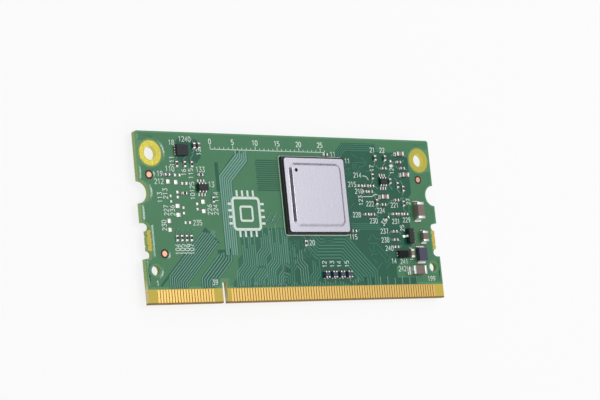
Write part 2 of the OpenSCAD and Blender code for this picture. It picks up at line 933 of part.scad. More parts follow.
// L-shaped terminals under the ends of the inductor
module inductor_terminal_pair()
    for (side = [0, 180])
        rotate(side)
            translate([inductor_l / 2, 0, 0])
                rotate([90, 0, 0])
                    linear_extrude(inductor_w, center = true)
                        polygon([
                            [0, 0], [0, inductor_terminal_h],
                            [-inductor_terminal_t, inductor_terminal_h],
                            [-inductor_terminal_t, inductor_terminal_t],
                            [-inductor_terminal_leg, inductor_terminal_t],
                            [-inductor_terminal_leg, 0]
                        ]);

module inductor_body()
    color("slategray")
        on_front(inductor_place)
            difference() {
                block(inductor);
                inductor_terminal_pair();
            }

module inductor_terminals()
    color("silver")
        on_front(inductor_place)
            inductor_terminal_pair();

module choke_bodies()
    color("dimgray")
        for (place = choke_places)
            on_front(place)
                chip_core([choke_l, choke_w, choke_h]);

// Puts what is given at each of the four terminals of every choke
module at_choke_terminals()
    for (place = choke_places, end = [0, 180], side = [-1, 1])
        on_front(place)
            rotate(end)
                translate([choke_l / 2, side * choke_terminal_offset, 0])
                    children();

module choke_terminals()
    color("silver")
        at_choke_terminals()
            wrapped_terminal(choke_terminal_w, choke_terminal_leg, choke_h);

module resistor_bodies()
    color("black")
        for (place = resistor_places)
            on_front(place)
                chip_core(resistor);

module resistor_caps()
    color("silver")
        for (place = resistor_places)
            on_front(place)
                chip_caps(resistor, small_band);

module small_capacitor_bodies()
    color("rosybrown")
        for (place = small_cap_places)
            on_front(place)
                chip_core(small_cap);

module small_capacitor_caps()
    color("silver")
        for (place = small_cap_places)
            on_front(place)
                chip_caps(small_cap, small_band);

module medium_capacitor_bodies()
    color("rosybrown")
        for (place = medium_cap_places)
            on_front(place)
                chip_core(medium_cap);

module medium_capacitor_caps()
    color("silver")
        for (place = medium_cap_places)
            on_front(place)
                chip_caps(medium_cap, medium_band);

module broad_capacitor_body()
    color("rosybrown")
        on_front(broad_cap_place)
            chip_core(broad_cap);

module broad_capacitor_caps()
    color("silver")
        on_front(broad_cap_place)
            chip_caps(broad_cap, broad_band);

module large_capacitor_bodies()
    color("rosybrown")
        for (place = large_cap_places)
            on_front(place)
                chip_core(large_cap);

module large_capacitor_caps()
    color("silver")
        for (place = large_cap_places)
            on_front(place)
                chip_caps(large_cap, large_band);

module rear_capacitor_bodies()
    color("rosybrown")
        for (place = rear_cap_places)
            on_rear(place)
                chip_core(small_cap);

module rear_capacitor_caps()
    color("silver")
        for (place = rear_cap_places)
            on_rear(place)
                chip_caps(small_cap, small_band);

// A domed layer of solder that fills its pad
module bare_solder_pads()
    color("gainsboro")
        for (pad = bare_pads) {
            rise = pad_solder_h - pad_corner_t;
            half_diagonal = norm([pad[2], pad[3]]) / 2;
            dome_r = (half_diagonal * half_diagonal + rise * rise) / (2 * rise);
            on_front([pad[0], pad[1], 0])
                intersection() {
                    translate([0, 0, pad_solder_h - dome_r])
                        sphere(dome_r);
                    block([pad[2], pad[3], pad_solder_h + over]);
                }
        }

module front_solder_joints()
    color("gainsboro") {
        for (place = resistor_places)
            on_front(place)
                end_fillets(resistor, small_fillet);
        for (place = small_cap_places)
            on_front(place)
                end_fillets(small_cap, small_fillet);
        for (place = medium_cap_places)
            on_front(place)
                end_fillets(medium_cap, medium_fillet);
        on_front(broad_cap_place)
            end_fillets(broad_cap, medium_fillet);
        for (place = large_cap_places)
            on_front(place)
                end_fillets(large_cap, large_fillet);
        on_front(inductor_place)
            end_fillets(inductor, large_fillet);
        on_front(settings_place)
            leadless_fillets(settings_size, settings_count);
        on_front(switch_place)
            leadless_fillets(switch_size, switch_count);
        at_choke_terminals()
            fillet(choke_terminal_w, terminal_fillet);
        for (side = [0, 180]) {
            on_front(driver_place)
                rotate(side)
                    toe_solder(driver_pitch * [-1, 0, 1], driver_w, driver_lead_w);
            on_front(regulator_place)
                rotate(side)
                    toe_solder(regulator_pitch * [-1, 0, 1], regulator_w, driver_lead_w);
        }
        on_front(transistor_place) {
            toe_solder([0], transistor_w, transistor_lead_w);
            rotate(180)
                toe_solder(transistor_pitch / 2 * [-1, 1], transistor_w, transistor_lead_w);
        }
    }

module rear_solder_joints()
    color("gainsboro")
        for (place = rear_cap_places)
            on_rear(place)
                end_fillets(small_cap, small_fillet);

circuit_board();
front_contacts();
rear_contacts();
mounting_hole_platings();
fiducial_dots();
processor_substrate();
processor_balls();
processor_die();
thermal_paste();
lid_seal();
processor_lid();
memory_body();
memory_balls();
flash_body();
flash_balls();
settings_memory_body();
settings_memory_terminals();
driver_body();
driver_leads();
regulator_body();
regulator_leads();
transistor_body();
transistor_leads();
power_switch_body();
power_switch_terminals();
inductor_body();
inductor_terminals();
choke_bodies();
choke_terminals();
resistor_bodies();
resistor_caps();
small_capacitor_bodies();
small_capacitor_caps();
medium_capacitor_bodies();
medium_capacitor_caps();
broad_capacitor_body();
broad_capacitor_caps();
large_capacitor_bodies();
large_capacitor_caps();
rear_capacitor_bodies();
rear_capacitor_caps();
bare_solder_pads();
front_solder_joints();
rear_solder_joints();
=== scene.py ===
"""Finish of a system on module: its mask, copper, print, metal and packages, in a plain studio.

Places on the board are millimetres: x along the contact edge from its middle, and up from that
edge towards the top edge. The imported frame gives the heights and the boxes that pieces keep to.
"""

import math
import random

import bmesh
import bpy
from bpy.props import FloatProperty, FloatVectorProperty, PointerProperty
from mathutils import Matrix, Vector


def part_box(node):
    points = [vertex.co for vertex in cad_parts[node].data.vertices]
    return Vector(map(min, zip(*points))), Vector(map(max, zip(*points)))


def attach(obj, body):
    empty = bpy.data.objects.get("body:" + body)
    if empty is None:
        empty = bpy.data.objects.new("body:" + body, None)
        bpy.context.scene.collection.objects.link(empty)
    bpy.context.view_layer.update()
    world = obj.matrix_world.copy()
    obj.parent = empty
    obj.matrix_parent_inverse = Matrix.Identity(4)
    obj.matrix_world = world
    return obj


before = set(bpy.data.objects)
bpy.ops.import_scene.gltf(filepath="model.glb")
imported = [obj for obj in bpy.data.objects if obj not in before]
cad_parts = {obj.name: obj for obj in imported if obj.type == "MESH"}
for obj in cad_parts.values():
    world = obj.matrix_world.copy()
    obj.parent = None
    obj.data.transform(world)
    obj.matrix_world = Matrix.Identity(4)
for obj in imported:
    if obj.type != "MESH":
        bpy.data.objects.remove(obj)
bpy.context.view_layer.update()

bl_info = {
    "name": "System on module",
    "version": (1, 0, 0),
    "blender": (4, 5, 0),
    "location": "3D View > Sidebar > Module",
    "description": "Finishes the module's board, copper, print and parts, and sets up a studio",
    "category": "Object",
}

MM = 0.001
BODY = "root"
# Distance within which a CAD node's loose corners are one corner
JOIN = 1e-6
# Sockets of the Mix node when it mixes colours
MIX_A, MIX_B, MIXED = 6, 7, 2
# Angles below which facets are one face, shade smooth, and get no soft edge
FACET_ANGLE, SMOOTH_ANGLE, SOFT_ANGLE = (math.radians(angle) for angle in (1, 38, 40))
# Gloss of the solder mask and of cut laminate, and the mask's orange peel
MASK_ROUGHNESS, CUT_ROUGHNESS = 0.12, 0.6
MASK_PEEL, PEEL_SIZE = 0.015, 0.3
# Marks of wiping and rolling on plated metal: how much they darken, dull and dent it
MARK_DARK, MARK_DULL, MARK_RELIEF = 0.95, 0.04, 0.008
# Pitch of the board's plies and grain of their glass, how far above the key its cut edge gets
# painted light, and how sharply the painted shade below the contacts ends
PLY_PITCH, FIBRE_SIZE, PAINTED_LIGHT_ABOVE, LIP_SHADE_END = 0.22, 0.35, 0.6, 0.05
# Gloss of a resistor's glaze and of its alumina, and how far up a face points that is glazed
GLAZE_ROUGHNESS, ALUMINA_ROUGHNESS, GLAZED_UP = 0.3, 0.55, 0.6
# The room's walls fade between these places across it, down to this brightness
FADE_START, FADE_END, FADE_TO = 0.58, 0.7, 0.64
# Width of the camera's sensor in millimetres, and how near it sees in metres
SENSOR_W, CLIP_NEAR = 36.0, 0.01
# Start of the random draws
SEED = 5


def box_mm(node):
    """Lowest and highest corner of a CAD node, in millimetres."""
    return tuple(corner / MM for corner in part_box(node))


BOARD_LOW, BOARD_HIGH = box_mm("circuit_board")
HALF_W, EDGE = BOARD_HIGH.x, BOARD_LOW.y
HEIGHT = BOARD_HIGH.y - EDGE
REAR, FRONT = BOARD_LOW.z, BOARD_HIGH.z
CONTACT_LOW = box_mm("front_contacts")[0].y - EDGE
CONTACT_TOP = box_mm("front_contacts")[1].y - EDGE
RING_LOW, RING_HIGH = box_mm("mounting_hole_platings")
RING_D = RING_HIGH.y - RING_LOW.y
RING_X, RING_UP = RING_HIGH.x - RING_D / 2, RING_LOW.y + RING_D / 2 - EDGE
PACKAGE_LOW, PACKAGE_HIGH = box_mm("processor_substrate")
LID_LOW, LID_HIGH = box_mm("processor_lid")

# Cut-outs of the board that its copper planes keep clear of
LATCH_UP, LATCH_R = 20.0, 2.0
TAB_UP, TAB_HALF, TAB_DEPTH = 11.3, 3.25, 1.5
KEY_X, KEY_HALF, KEY_H = -17.55, 0.5, 4.0
LOCATING_X, LOCATING_UP, LOCATING_R = 31.8, 6.0, 0.9
# How far the planes keep off contacts, mounting rings, the key and the locating holes, how their
# outline slants into a tab's recess, and the narrowest strip of them beside a ring
CONTACT_CLEAR, RING_CLEAR, KEY_CLEAR, HOLE_CLEAR = 0.5, 0.45, 0.45, 0.35
TAB_SLANT, PLANE_NECK = 0.9, 1.1
# Share of a plane's rise that is a step at its foot
PLANE_STEP = 0.1
# Where the mask is torn at a broken-off tab: grain and reach of the ragged edge, how far it goes in
# from the board's side, and how far it stops short of the recess's ends
TEAR_SIZE, TEAR_REACH, TEAR_IN, TEAR_SHORT = 0.4, 0.7, 1.15, 1.4
# Thickness of the board's skin that shows as mask
MASK_SKIN = 0.015
# Opening in the plane round a registration dot, and the bare board in it
DOT_OPEN_R, DOT_BARE_R, DOT_BARE_UP, DOT_BARE_T = 0.88, 0.85, 0.004, 0.005
# Tops of strips that cross lie this far apart, so that they don't share a surface
APART = 0.0005
# Rise of traces and vias over that of a plane, the slope of their sides, and a via's dimple as
# shares of its width and height
TRACE_RISE, VIA_RISE, TRACE_SLOPE = 1.9, 2, 0.03
DIMPLE_RIM, DIMPLE_DEPTH = 0.18, 0.7
# Crooked traces: how many steps one takes, and how often it turns
STRAY_REACH, STRAY_TURN = (4, 12), 0.3
# Trace at the end of a chip part: where it starts, and the lengths of its two legs
CHIP_START, CHIP_LEG, CHIP_END = 0.2, (0.3, 0.6), (0.25, 0.7)
# Bare board round a solder pad, and between contacts that are no further apart than this, both
# darkened as painted shade
PAD_RIM, CONTACT_GAP, CONTACT_GAP_RISE = 0.07, 0.4, 0.004
# Dot of ink in the lid's first corner: distance from both sides, radius, thickness and depth
INK_IN, INK_R, INK_T, INK_DOWN = 2.35, 0.35, 0.04, 0.025
# Printed outline of the processor: distance from its package, corner, line, and the leaders' line
OUTLINE_OFF, OUTLINE_CORNER, OUTLINE_LINE, LEADER_LINE = 0.14, 0.5, 0.15, 0.13
# Printed pictogram of a chip: middle, the half size, corner and line of each square, and of its
# pins the places, start, ends and line
PICTOGRAM, SQUARES = (-11.3, 16.2), ((2.9, 0.6, 0.5), (1.3, 0.3, 0.4))
PINS, PIN_START, PIN_HIGH, PIN_WIDE, PIN_LINE = (-1.8, -0.6, 0.6, 1.8), 3.1, 4.3, 4.0, 0.42
# Printed ruler: start, length, millimetres from number to number, line, height of tall and short
# marks, and the place above it, height and line of its numbers
RULER, RULER_LENGTH, RULER_STEP, RULER_LINE = (-18.0, 28.0), 26, 5, 0.12
MARK_TALL, MARK_SHORT, RULER_NUMBER = 0.75, 0.4, (1.4, 0.9, 0.15)

# What lies under the mask of each face. A bundle is a path, a number of traces, their spacing, the
# share of it that a trace takes, and how unevenly they end. A stray field is the lowest and the
# highest corner of an area that short crooked traces fill, and how often one is tried. An area
# without copper is its corners, and a split of the plane a path and a width. Thin areas have an
# inner plane close below, and the fine bundles run over them. The rear is seen through the board.
FRONT_COPPER = {
    "bundles": (
        (((-27.3, 2.75), (-27.3, 4.2), (-19.2, 12.3)), 9, 0.44, 0.45, 1.2),
        (((-21.0, 2.75), (-21.0, 4.0), (-16.9, 8.1), (-16.9, 9.6)), 6, 0.52, 0.4, 1.4),
        (((-15.3, 8.6), (-15.3, 22.6), (-11.4, 26.5), (-11.4, 27.6)), 6, 0.46, 0.75, 0.5),
        (((0.3, 2.75), (0.3, 3.3)), 51, 0.6, 0.26, 0.6),
        (((0.5, 3.4), (0.5, 6.2), (-0.5, 7.2), (-0.5, 9.4)), 4, 0.55, 0.3, 1.2),
        *((((-7.4 + 0.42 * i, 14.4 + 0.62 * (i % 3)), (-6.8 + 0.42 * i, 15.0 + 0.62 * (i % 3))),
           1, 0.3, 0.6, 0.2) for i in range(8)),
        (((19.2, 2.75), (19.2, 4.0)), 10, 1.8, 0.11, 0.5),
    ),
    "faint_bundles": (
        (((-2.9, 3.2), (-2.9, 6.0), (-2.2, 6.7), (-2.2, 10.6)), 5, 0.5, 0.5, 1.4),
        (((2.6, 3.2), (2.6, 4.2), (3.4, 5.0), (3.4, 7.4)), 4, 0.5, 0.5, 1.2),
        (((15.6, 2.75), (15.6, 4.6), (10.2, 10.0), (4.4, 10.0), (2.6, 11.8)), 8, 0.6, 0.5, 0.4),
        (((12.6, 13.9), (19.5, 13.9)), 4, 0.35, 0.5, 0.8),
        (((10.4, 27.0), (12.6, 29.2), (20.4, 29.2)), 4, 0.4, 0.5, 0.8),
        (((6.8, 10.6), (6.8, 12.0)), 5, 0.45, 0.5, 0.3),
    ),
    "fine_bundles": (
        (((-13.3, 3.0), (-13.3, 4.8), (-11.5, 6.6), (-11.5, 11.4)), 7, 0.46, 0.34, 2.0),
        (((-9.9, 3.0), (-9.9, 4.2), (-8.6, 5.5)), 5, 0.46, 0.34, 0.9),
        (((-8.9, 6.6), (-8.9, 8.4), (-7.7, 9.6), (-7.7, 12.2)), 5, 0.46, 0.34, 1.6),
        (((-7.0, 3.0), (-7.0, 6.0), (-5.6, 7.4), (-5.6, 12.4)), 5, 0.46, 0.34, 2.0),
        (((-4.7, 3.0), (-4.7, 4.4), (-3.6, 5.5), (-3.6, 11.8)), 4, 0.46, 0.34, 2.0),
    ),
    "strays": (
        (12.1, 15.0, 14.1, 26.4, 90), (14.4, 24.6, 18.4, 28.0, 60),
        (16.2, 4.8, 21.6, 12.4, 40), (-2.4, 7.6, 3.2, 11.4, 60),
    ),
    "areas": (
        ((-2.6, 2.85), (-2.6, 11.6), (-1.9, 12.3), (11.9, 12.3), (11.9, 27.4), (13.5, 29.0),
         (20.4, 29.0), (21.0, 28.4), (27.2, 28.4), (28.2, 27.4), (28.2, 20.4), (27.0, 19.2),
         (27.0, 10.4), (22.6, 6.0), (22.6, 2.85)),
        ((-25.4, 25.4), (-25.4, 29.2), (-24.8, 29.8), (-21.2, 29.8), (-20.2, 28.8),
         (-20.2, 26.4), (-21.2, 25.4)),
    ),
    "thin_areas": (
        ((-15.6, 2.85), (-15.6, 3.6), (-14.2, 5.0), (-14.2, 7.8), (-13.2, 8.8), (-13.2, 12.4),
         (-12.0, 13.6), (-3.6, 13.6), (-2.5, 12.5), (-2.5, 2.85)),
    ),
    "splits": (
        (((-17.0, 20.2), (-17.0, 25.6)), 0.8),
        (((-14.9, 24.9), (-11.9, 27.9)), 0.4),
        (((-31.0, 3.2), (-25.2, 9.0)), 0.45),
        *((((-8.4 + 0.1 * (i % 3), 20.6 + 0.4 * i), (-3.3, 20.6 + 0.4 * i)), 0.22)
          for i in range(15)),
    ),
}
REAR_COPPER = {
    "bundles": (
        (((-11.0, 2.75), (-11.0, 10.8)), 15, 0.5, 0.45, 0.6),
        (((4.4, 2.75), (4.4, 12.8)), 18, 0.55, 0.4, 0.8),
        (((22.0, 2.75), (22.0, 6.0), (14.0, 14.0), (11.6, 14.0)), 8, 0.45, 0.45, 0.5),
    ),
    "faint_bundles": (
        (((-7.0, 20.0), (-2.2, 20.0)), 12, 0.5, 0.4, 0.4),
        (((-27.0, 2.75), (-27.0, 9.0), (-21.0, 15.0), (-19.8, 15.0)), 8, 0.45, 0.45, 0.5),
        (((-20.0, 19.6), (-23.4, 19.6), (-26.2, 22.4), (-29.8, 22.4)), 6, 0.5, 0.45, 1.0),
        (((26.8, 2.75), (26.8, 7.4), (16.2, 18.0), (13.2, 18.0)), 5, 0.5, 0.4, 0.6),
        (((13.2, 22.4), (16.8, 22.4), (19.6, 25.2), (25.4, 25.2)), 5, 0.5, 0.45, 1.0),
        (((-14.0, 25.0), (-14.0, 26.8), (-12.4, 28.4), (3.2, 28.4), (4.4, 27.2), (4.4, 25.9)),
         5, 0.45, 0.45, 0.1),
    ),
    "fine_bundles": (),
    "strays": (),
    "areas": (),
    "thin_areas": (),
    "splits": (),
}

# Printed numbers beside the parts: x, up, turn in degrees, number
FRONT_NUMBERS = (
    (-26.3, 29.0, 0, "18"), (-23.4, 29.7, 0, "1240"), (-20.6, 27.4, 90, "12"),
    (-26.5, 25.6, 90, "111"), (-27.1, 24.2, 0, "110"), (-29.3, 23.3, 0, "19"),
    (-29.6, 21.9, 0, "212"), (-20.6, 24.2, 0, "133"), (-24.2, 23.6, 90, "16"),
    (-22.7, 23.4, 90, "115"), (-18.5, 21.5, 0, "13"), (-22.7, 20.3, 90, "10125"),
    (-28.5, 19.7, 90, "213"), (-29.7, 19.0, 90, "113"), (-17.7, 19.2, 90, "114"),
    (-19.3, 16.9, 90, "226"), (-18.0, 16.9, 90, "224"), (-28.6, 16.7, 90, "227"),
    (-27.3, 16.7, 90, "236"), (-29.3, 14.0, 90, "230"), (-22.2, 14.5, 0, "235"),
    (-26.9, 9.7, 90, "104"), (-25.9, 9.7, 90, "105"), (-24.9, 9.7, 90, "106"),
    (-23.9, 9.7, 90, "107"), (19.6, 28.8, 0, "21"), (22.0, 28.8, 0, "22"),
    (19.0, 25.2, 90, "17"), (15.3, 23.8, 0, "214"), (23.9, 25.1, 90, "120"),
    (13.8, 22.0, 0, "215"), (15.3, 20.7, 0, "218"), (15.5, 18.9, 90, "123"),
    (17.7, 18.3, 0, "222"), (20.2, 17.0, 0, "224"), (23.7, 18.1, 0, "221"),
    (27.2, 18.8, 90, "27"), (14.2, 16.15, 0, "228"), (18.15, 15.0, 0, "230"),
    (20.6, 14.7, 45, "33"), (23.6, 14.9, 0, "231"), (26.3, 15.2, 0, "229"),
    (20.5, 13.0, 0, "237"), (20.5, 11.3, 0, "238"), (21.3, 9.7, 0, "240"),
    (25.0, 13.6, 90, "25"), (22.1, 7.2, 0, "14"), (24.6, 7.1, 0, "241"),
    (24.0, 5.7, 0, "242"), (12.8, 11.9, 0, "115"), (2.6, 10.8, 0, "120"),
    (13.2, 26.5, 0, "11"), (9.9, 27.7, 0, "11"), (5.3, 6.75, 90, "12"),
    (7.1, 6.75, 90, "13"), (8.75, 6.75, 90, "14"), (10.6, 6.75, 90, "15"),
    (-31.7, 3.7, 0, "1"), (-19.6, 3.7, 0, "39"), (31.0, 3.7, 0, "199"),
)
REAR_NUMBERS = (
    (-31.7, 3.7, 0, "2"), (-20.2, 3.7, 0, "40"), (31.2, 3.7, 0, "200"),
    (-13.5, 25.4, 0, "31"), (4.4, 26.6, 0, "32"), (24.0, 16.0, 0, "250"),
    (-25.0, 18.0, 90, "251"),
)
# Thin printed lines that lead from a number to its part
LEADERS = (
    ((16.5, 23.7), (17.4, 23.6), (17.9, 22.9)),
    ((16.2, 19.65), (18.3, 19.7), (19.1, 20.1), (19.7, 20.1)),
)
# Stroke of each printed digit on a grid two wide and four high
DIGITS = {
    "0": ((0, 1), (0, 3), (0.6, 4), (1.4, 4), (2, 3), (2, 1), (1.4, 0), (0.6, 0), (0, 1)),
    "1": ((0.2, 3.2), (1.1, 4), (1.1, 0)),
    "2": ((0, 3.2), (0.6, 4), (1.4, 4), (2, 3.2), (2, 2.6), (0, 0), (2, 0)),
    "3": ((0, 4), (2, 4), (1, 2.4), (2, 1.6), (2, 0.7), (1.4, 0), (0.6, 0), (0, 0.6)),
    "4": ((1.5, 0), (1.5, 4), (0, 1.2), (2, 1.2)),
    "5": ((2, 4), (0.2, 4), (0.1, 2.3), (1.3, 2.4), (2, 1.7), (2, 0.7), (1.4, 0), (0, 0.2)),
    "6": ((1.7, 4), (0.5, 2.9), (0, 1.5), (0.1, 0.6), (0.7, 0), (1.4, 0), (2, 0.7),
          (1.9, 1.6), (1.2, 2.2), (0.1, 1.8)),
    "7": ((0, 4), (2, 4), (0.7, 0)),
    "8": ((0.6, 2.2), (0.1, 2.8), (0.2, 3.6), (0.7, 4), (1.3, 4), (1.8, 3.6), (1.9, 2.8),
          (1.4, 2.2), (0.6, 2.2), (0, 1.4), (0.1, 0.5), (0.7, 0), (1.3, 0), (1.9, 0.5),
          (2, 1.4), (1.4, 2.2)),
    "9": ((0.3, 0), (1.5, 1.1), (2, 2.5), (1.9, 3.4), (1.3, 4), (0.6, 4), (0, 3.3),
          (0.1, 2.4), (0.8, 1.8), (1.9, 2.2)),
}

# CAD nodes of chip parts, as bodies and their end caps, that get a short trace at each end
CHIP_NODES = (
    ("resistor_bodies", "resistor_caps"),
    ("small_capacitor_bodies", "small_capacitor_caps"),
    ("medium_capacitor_bodies", "medium_capacitor_caps"),
    ("large_capacitor_bodies", "large_capacitor_caps"),
)


def linear(hex_colour):
    """An sRGB hex colour as the linear values that Blender's sockets take."""
    parts = (int(hex_colour[i:i + 2], 16) / 255 for i in (1, 3, 5))
    return tuple(p / 12.92 if p <= 0.04045 else ((p + 0.055) / 1.055) ** 2.4 for p in parts)


def colour(name, description, value):
    """A colour that a user may change."""
    return FloatVectorProperty(name=name, description=description, subtype="COLOR", size=3,
                               min=0.0, max=1.0, default=linear(value))


def length(name, description, value):
    """A length that a user may change, given in millimetres."""
    return FloatProperty(name=name, description=description, unit="LENGTH", min=0.0,
                         precision=6, default=value * MM)


class BoardSettings(bpy.types.PropertyGroup):
    """Colours and sizes of the board, its copper and its print"""
    plane: colour("Plane", "Mask over the copper planes", "#427e57")
    trace: colour("Trace", "Mask over a raised trace", "#72a493")
    faint: colour("Faint trace", "Mask over a trace on bare board", "#3f7f68")
    gap: colour("Gap", "Mask over bare board between copper", "#0f5a42")
    thin: colour("Thin area", "Mask where copper lies deeper in the board", "#1f674d")
    edge: colour("Edge", "Mask over bare board along the outline", "#558f66")
    laminate: colour("Laminate", "Glass and epoxy without mask", "#cdb84c")
    cut: colour("Cut edge", "Routed edge of the board", "#8fbd6e")
    # Painted shade on the bevelled edge below the contacts
    lip: colour("Contact lip", "Bevelled edge below the contacts", "#8a6c38")
    # Painted light on the cut edges by the contacts and the key, paler than the laminate really is
    pale_cut: colour("Pale cut edge", "Routed edge where no copper is inside", "#efe3a8")
    ply: colour("Ply", "Darker plies in the laminate", "#a08a38")
    # Bare board around pads and between contacts, darkened with painted shade
    opening: colour("Opening", "Bare board around pads and between contacts", "#5c4420")
    ink: colour("Ink", "Printed numbers and outlines", "#dcebe2")
    plane_margin: length("Plane margin", "Distance from the outline to the copper plane", 0.32)
    copper_rise: length("Copper rise", "Height that copper lifts the mask", 0.03)
    plane_slope: length("Plane slope", "Width over which the mask runs down off a plane", 0.36)
    trace_width: length("Trace width", "Width of a trace that runs alone", 0.15)
    trace_gap: length("Trace gap", "Open space on each side of a trace", 0.13)
    stray_grid: length("Stray grid", "Grid that the crooked traces follow", 0.42)
    via_width: length("Via width", "Diameter of a covered via", 0.36)
    digit_height: length("Digit height", "Height of the printed numbers", 0.9)
    digit_stroke: length("Digit stroke", "Width of the lines of the printed numbers", 0.12)
    ink_rise: length("Ink rise", "Height of the ink above the mask", 0.075)


class MetalSettings(bpy.types.PropertyGroup):
    """Colours of the plated and soldered metal"""
    contact: colour("Contacts", "Gold on the edge contacts", "#f7ce78")
    ring: colour("Rings", "Gold on the mounting rings", "#cbc258")
    copper: colour("Copper", "Bare copper of the registration dots", "#eeb196")
    nickel: colour("Lid", "Satin nickel of the processor's lid", "#d3d0dd")
    tin: colour("Tin", "Tin on the ends of the parts", "#f0f0f0")
    solder: colour("Solder", "Solder joints and tinned pads", "#eef0f0")


class PartSettings(bpy.types.PropertyGroup):
    """Colours of the packages and chip parts, and how soft their edges are"""
    mould: colour("Mould compound", "Black moulded packages", "#22282a")
    substrate: colour("Substrate", "Dark board of the processor package", "#16201c")
    ferrite: colour("Ferrite", "Pressed ferrite of the inductor and chokes", "#44455a")
    black: colour("Black epoxy", "Deep black power switch", "#101211")
    ceramic: colour("Small ceramic", "Small capacitors", "#6f5f5a")
    grey_ceramic: colour("Large ceramic", "Large capacitors", "#7d6e68")
    tan_ceramic: colour("Medium ceramic", "Medium capacitors", "#957f78")
    glaze: colour("Glaze", "Black glaze on the resistors", "#1b1c1f")
    alumina: colour("Alumina", "White ceramic under the glaze", "#cfcbc4")
    soft_edge: length("Soft edge", "Rounding of moulded and fired edges", 0.04)


class StageSettings(bpy.types.PropertyGroup):
    """Camera, floor and light"""
    floor: colour("Floor", "Paper that the module lies on", "#f4f4f6")
    camera_place: FloatVectorProperty(
        name="Camera place", description="Where the camera stands", subtype="XYZ",
        unit="LENGTH", size=3, default=(-0.21875, -0.05154, 0.29239))
    camera_right: FloatVectorProperty(
        name="Camera right", description="Direction of the picture's right side",
        subtype="DIRECTION", size=3, default=(0.802, -0.0986, 0.5891))
    camera_up: FloatVectorProperty(
        name="Camera up", description="Direction of the picture's top",
        subtype="DIRECTION", size=3, default=(-0.0101, 0.9839, 0.1785))
    lens: FloatProperty(name="Lens", description="Focal length on a 36 mm sensor",
                        subtype="DISTANCE_CAMERA", default=118.94)
    glow: FloatProperty(name="Floor glow", description="Share of plain white in the floor",
                        subtype="FACTOR", min=0.0, max=1.0, default=0.82)
    room: FloatProperty(name="Room light", description="Brightness of the white room",
                        min=0.0, default=0.76)
    softbox: FloatProperty(name="Softbox", description="Power of the overhead softbox",
                           subtype="POWER", min=0.0, default=1.14)
    strip: FloatProperty(name="Strip light", description="Power of the narrow strip light",
                         subtype="POWER", min=0.0, default=0.24)


def plug(tree, node, sockets):
    """Sets sockets, each to a value, to an output, or to the first output of a node."""
    for name, value in sockets.items():
        if isinstance(value, bpy.types.Node):
            value = value.outputs[0]
        if isinstance(value, bpy.types.NodeSocket):
            tree.links.new(value, node.inputs[name])
        else:
            node.inputs[name].default_value = value


def add(tree, kind, sockets=None, **settings):
    """Adds a node with its settings and links."""
    node = tree.nodes.new(kind)
    for name, value in settings.items():
        setattr(node, name, value)
    plug(tree, node, sockets or {})
    return node


def start_material(name, base, roughness, metallic=0.0):
    """A material with its shader, its node tree and Object coordinates to draw patterns on."""
    material = bpy.data.materials.new(name)
    material.use_nodes = True
    tree = material.node_tree
    shader = tree.nodes["Principled BSDF"]
    plug(tree, shader, {"Base Color": (*base, 1), "Roughness": roughness, "Metallic": metallic})
    return material, tree, shader, add(tree, "ShaderNodeTexCoord").outputs["Object"]


def grain(size):
    """Scale of a noise texture whose features are about size millimetres."""
    return 1 / (size * MM)


def bands(pitch):
    """Scale of a wave texture whose bands repeat every pitch millimetres."""
    return math.pi / (10 * pitch * MM)


def mottle(tree, shader, place, base, depth, size, rough=0.0, bump=0.0, bump_size=None):
    """Clouds of lighter and darker base colour, uneven gloss and a fine relief."""
    cloud = add(tree, "ShaderNodeTexNoise", {
        "Vector": place, "Scale": grain(size), "Detail": 4.0})
    dark = tuple(c * (1 - depth) for c in base)
    light = tuple(min(1.0, c * (1 + depth)) for c in base)
    mixed = add(tree, "ShaderNodeMix", {0: cloud, MIX_A: (*dark, 1), MIX_B: (*light, 1)},
                data_type="RGBA").outputs[MIXED]
    plug(tree, shader, {"Base Color": mixed})
    if rough:
        level = shader.inputs["Roughness"].default_value
        plug(tree, shader, {"Roughness": add(tree, "ShaderNodeMapRange", {
            "Value": cloud, "To Min": level - rough, "To Max": level + rough})})
    if bump:
        relief = add(tree, "ShaderNodeTexNoise", {
            "Vector": place, "Scale": grain(bump_size), "Detail": 3.0})
        plug(tree, shader, {"Normal": add(tree, "ShaderNodeBump", {
            "Height": relief, "Strength": bump, "Distance": bump_size * MM})})
    return mixed


def mottled_material(name, base, roughness, metallic=0.0, depth=0.08, size=1.0, rough=0.05,
                     bump=0.1, bump_size=0.2, specular=0.5):
    """A material that varies only by clouds, gloss and relief."""
    material, tree, shader, place = start_material(name, base, roughness, metallic)
    plug(tree, shader, {"Specular IOR Level": specular})
    mottle(tree, shader, place, base, depth, size, rough, bump, bump_size)
    return material


def mask_material(name, base, depth, size):
    """Epoxy solder mask: glossy, with a faint orange peel that only strong lights show."""
    return mottled_material(name, base, MASK_ROUGHNESS, depth=depth, size=size, rough=0.04,
                            bump=MASK_PEEL, bump_size=PEEL_SIZE)


def facing_up(tree):
    """How far the surface faces up: 1 on a top, 0 on a wall and -1 on an underside."""
    normal = add(tree, "ShaderNodeNewGeometry").outputs["Normal"]
    return add(tree, "ShaderNodeSeparateXYZ", {0: normal}).outputs["Z"]


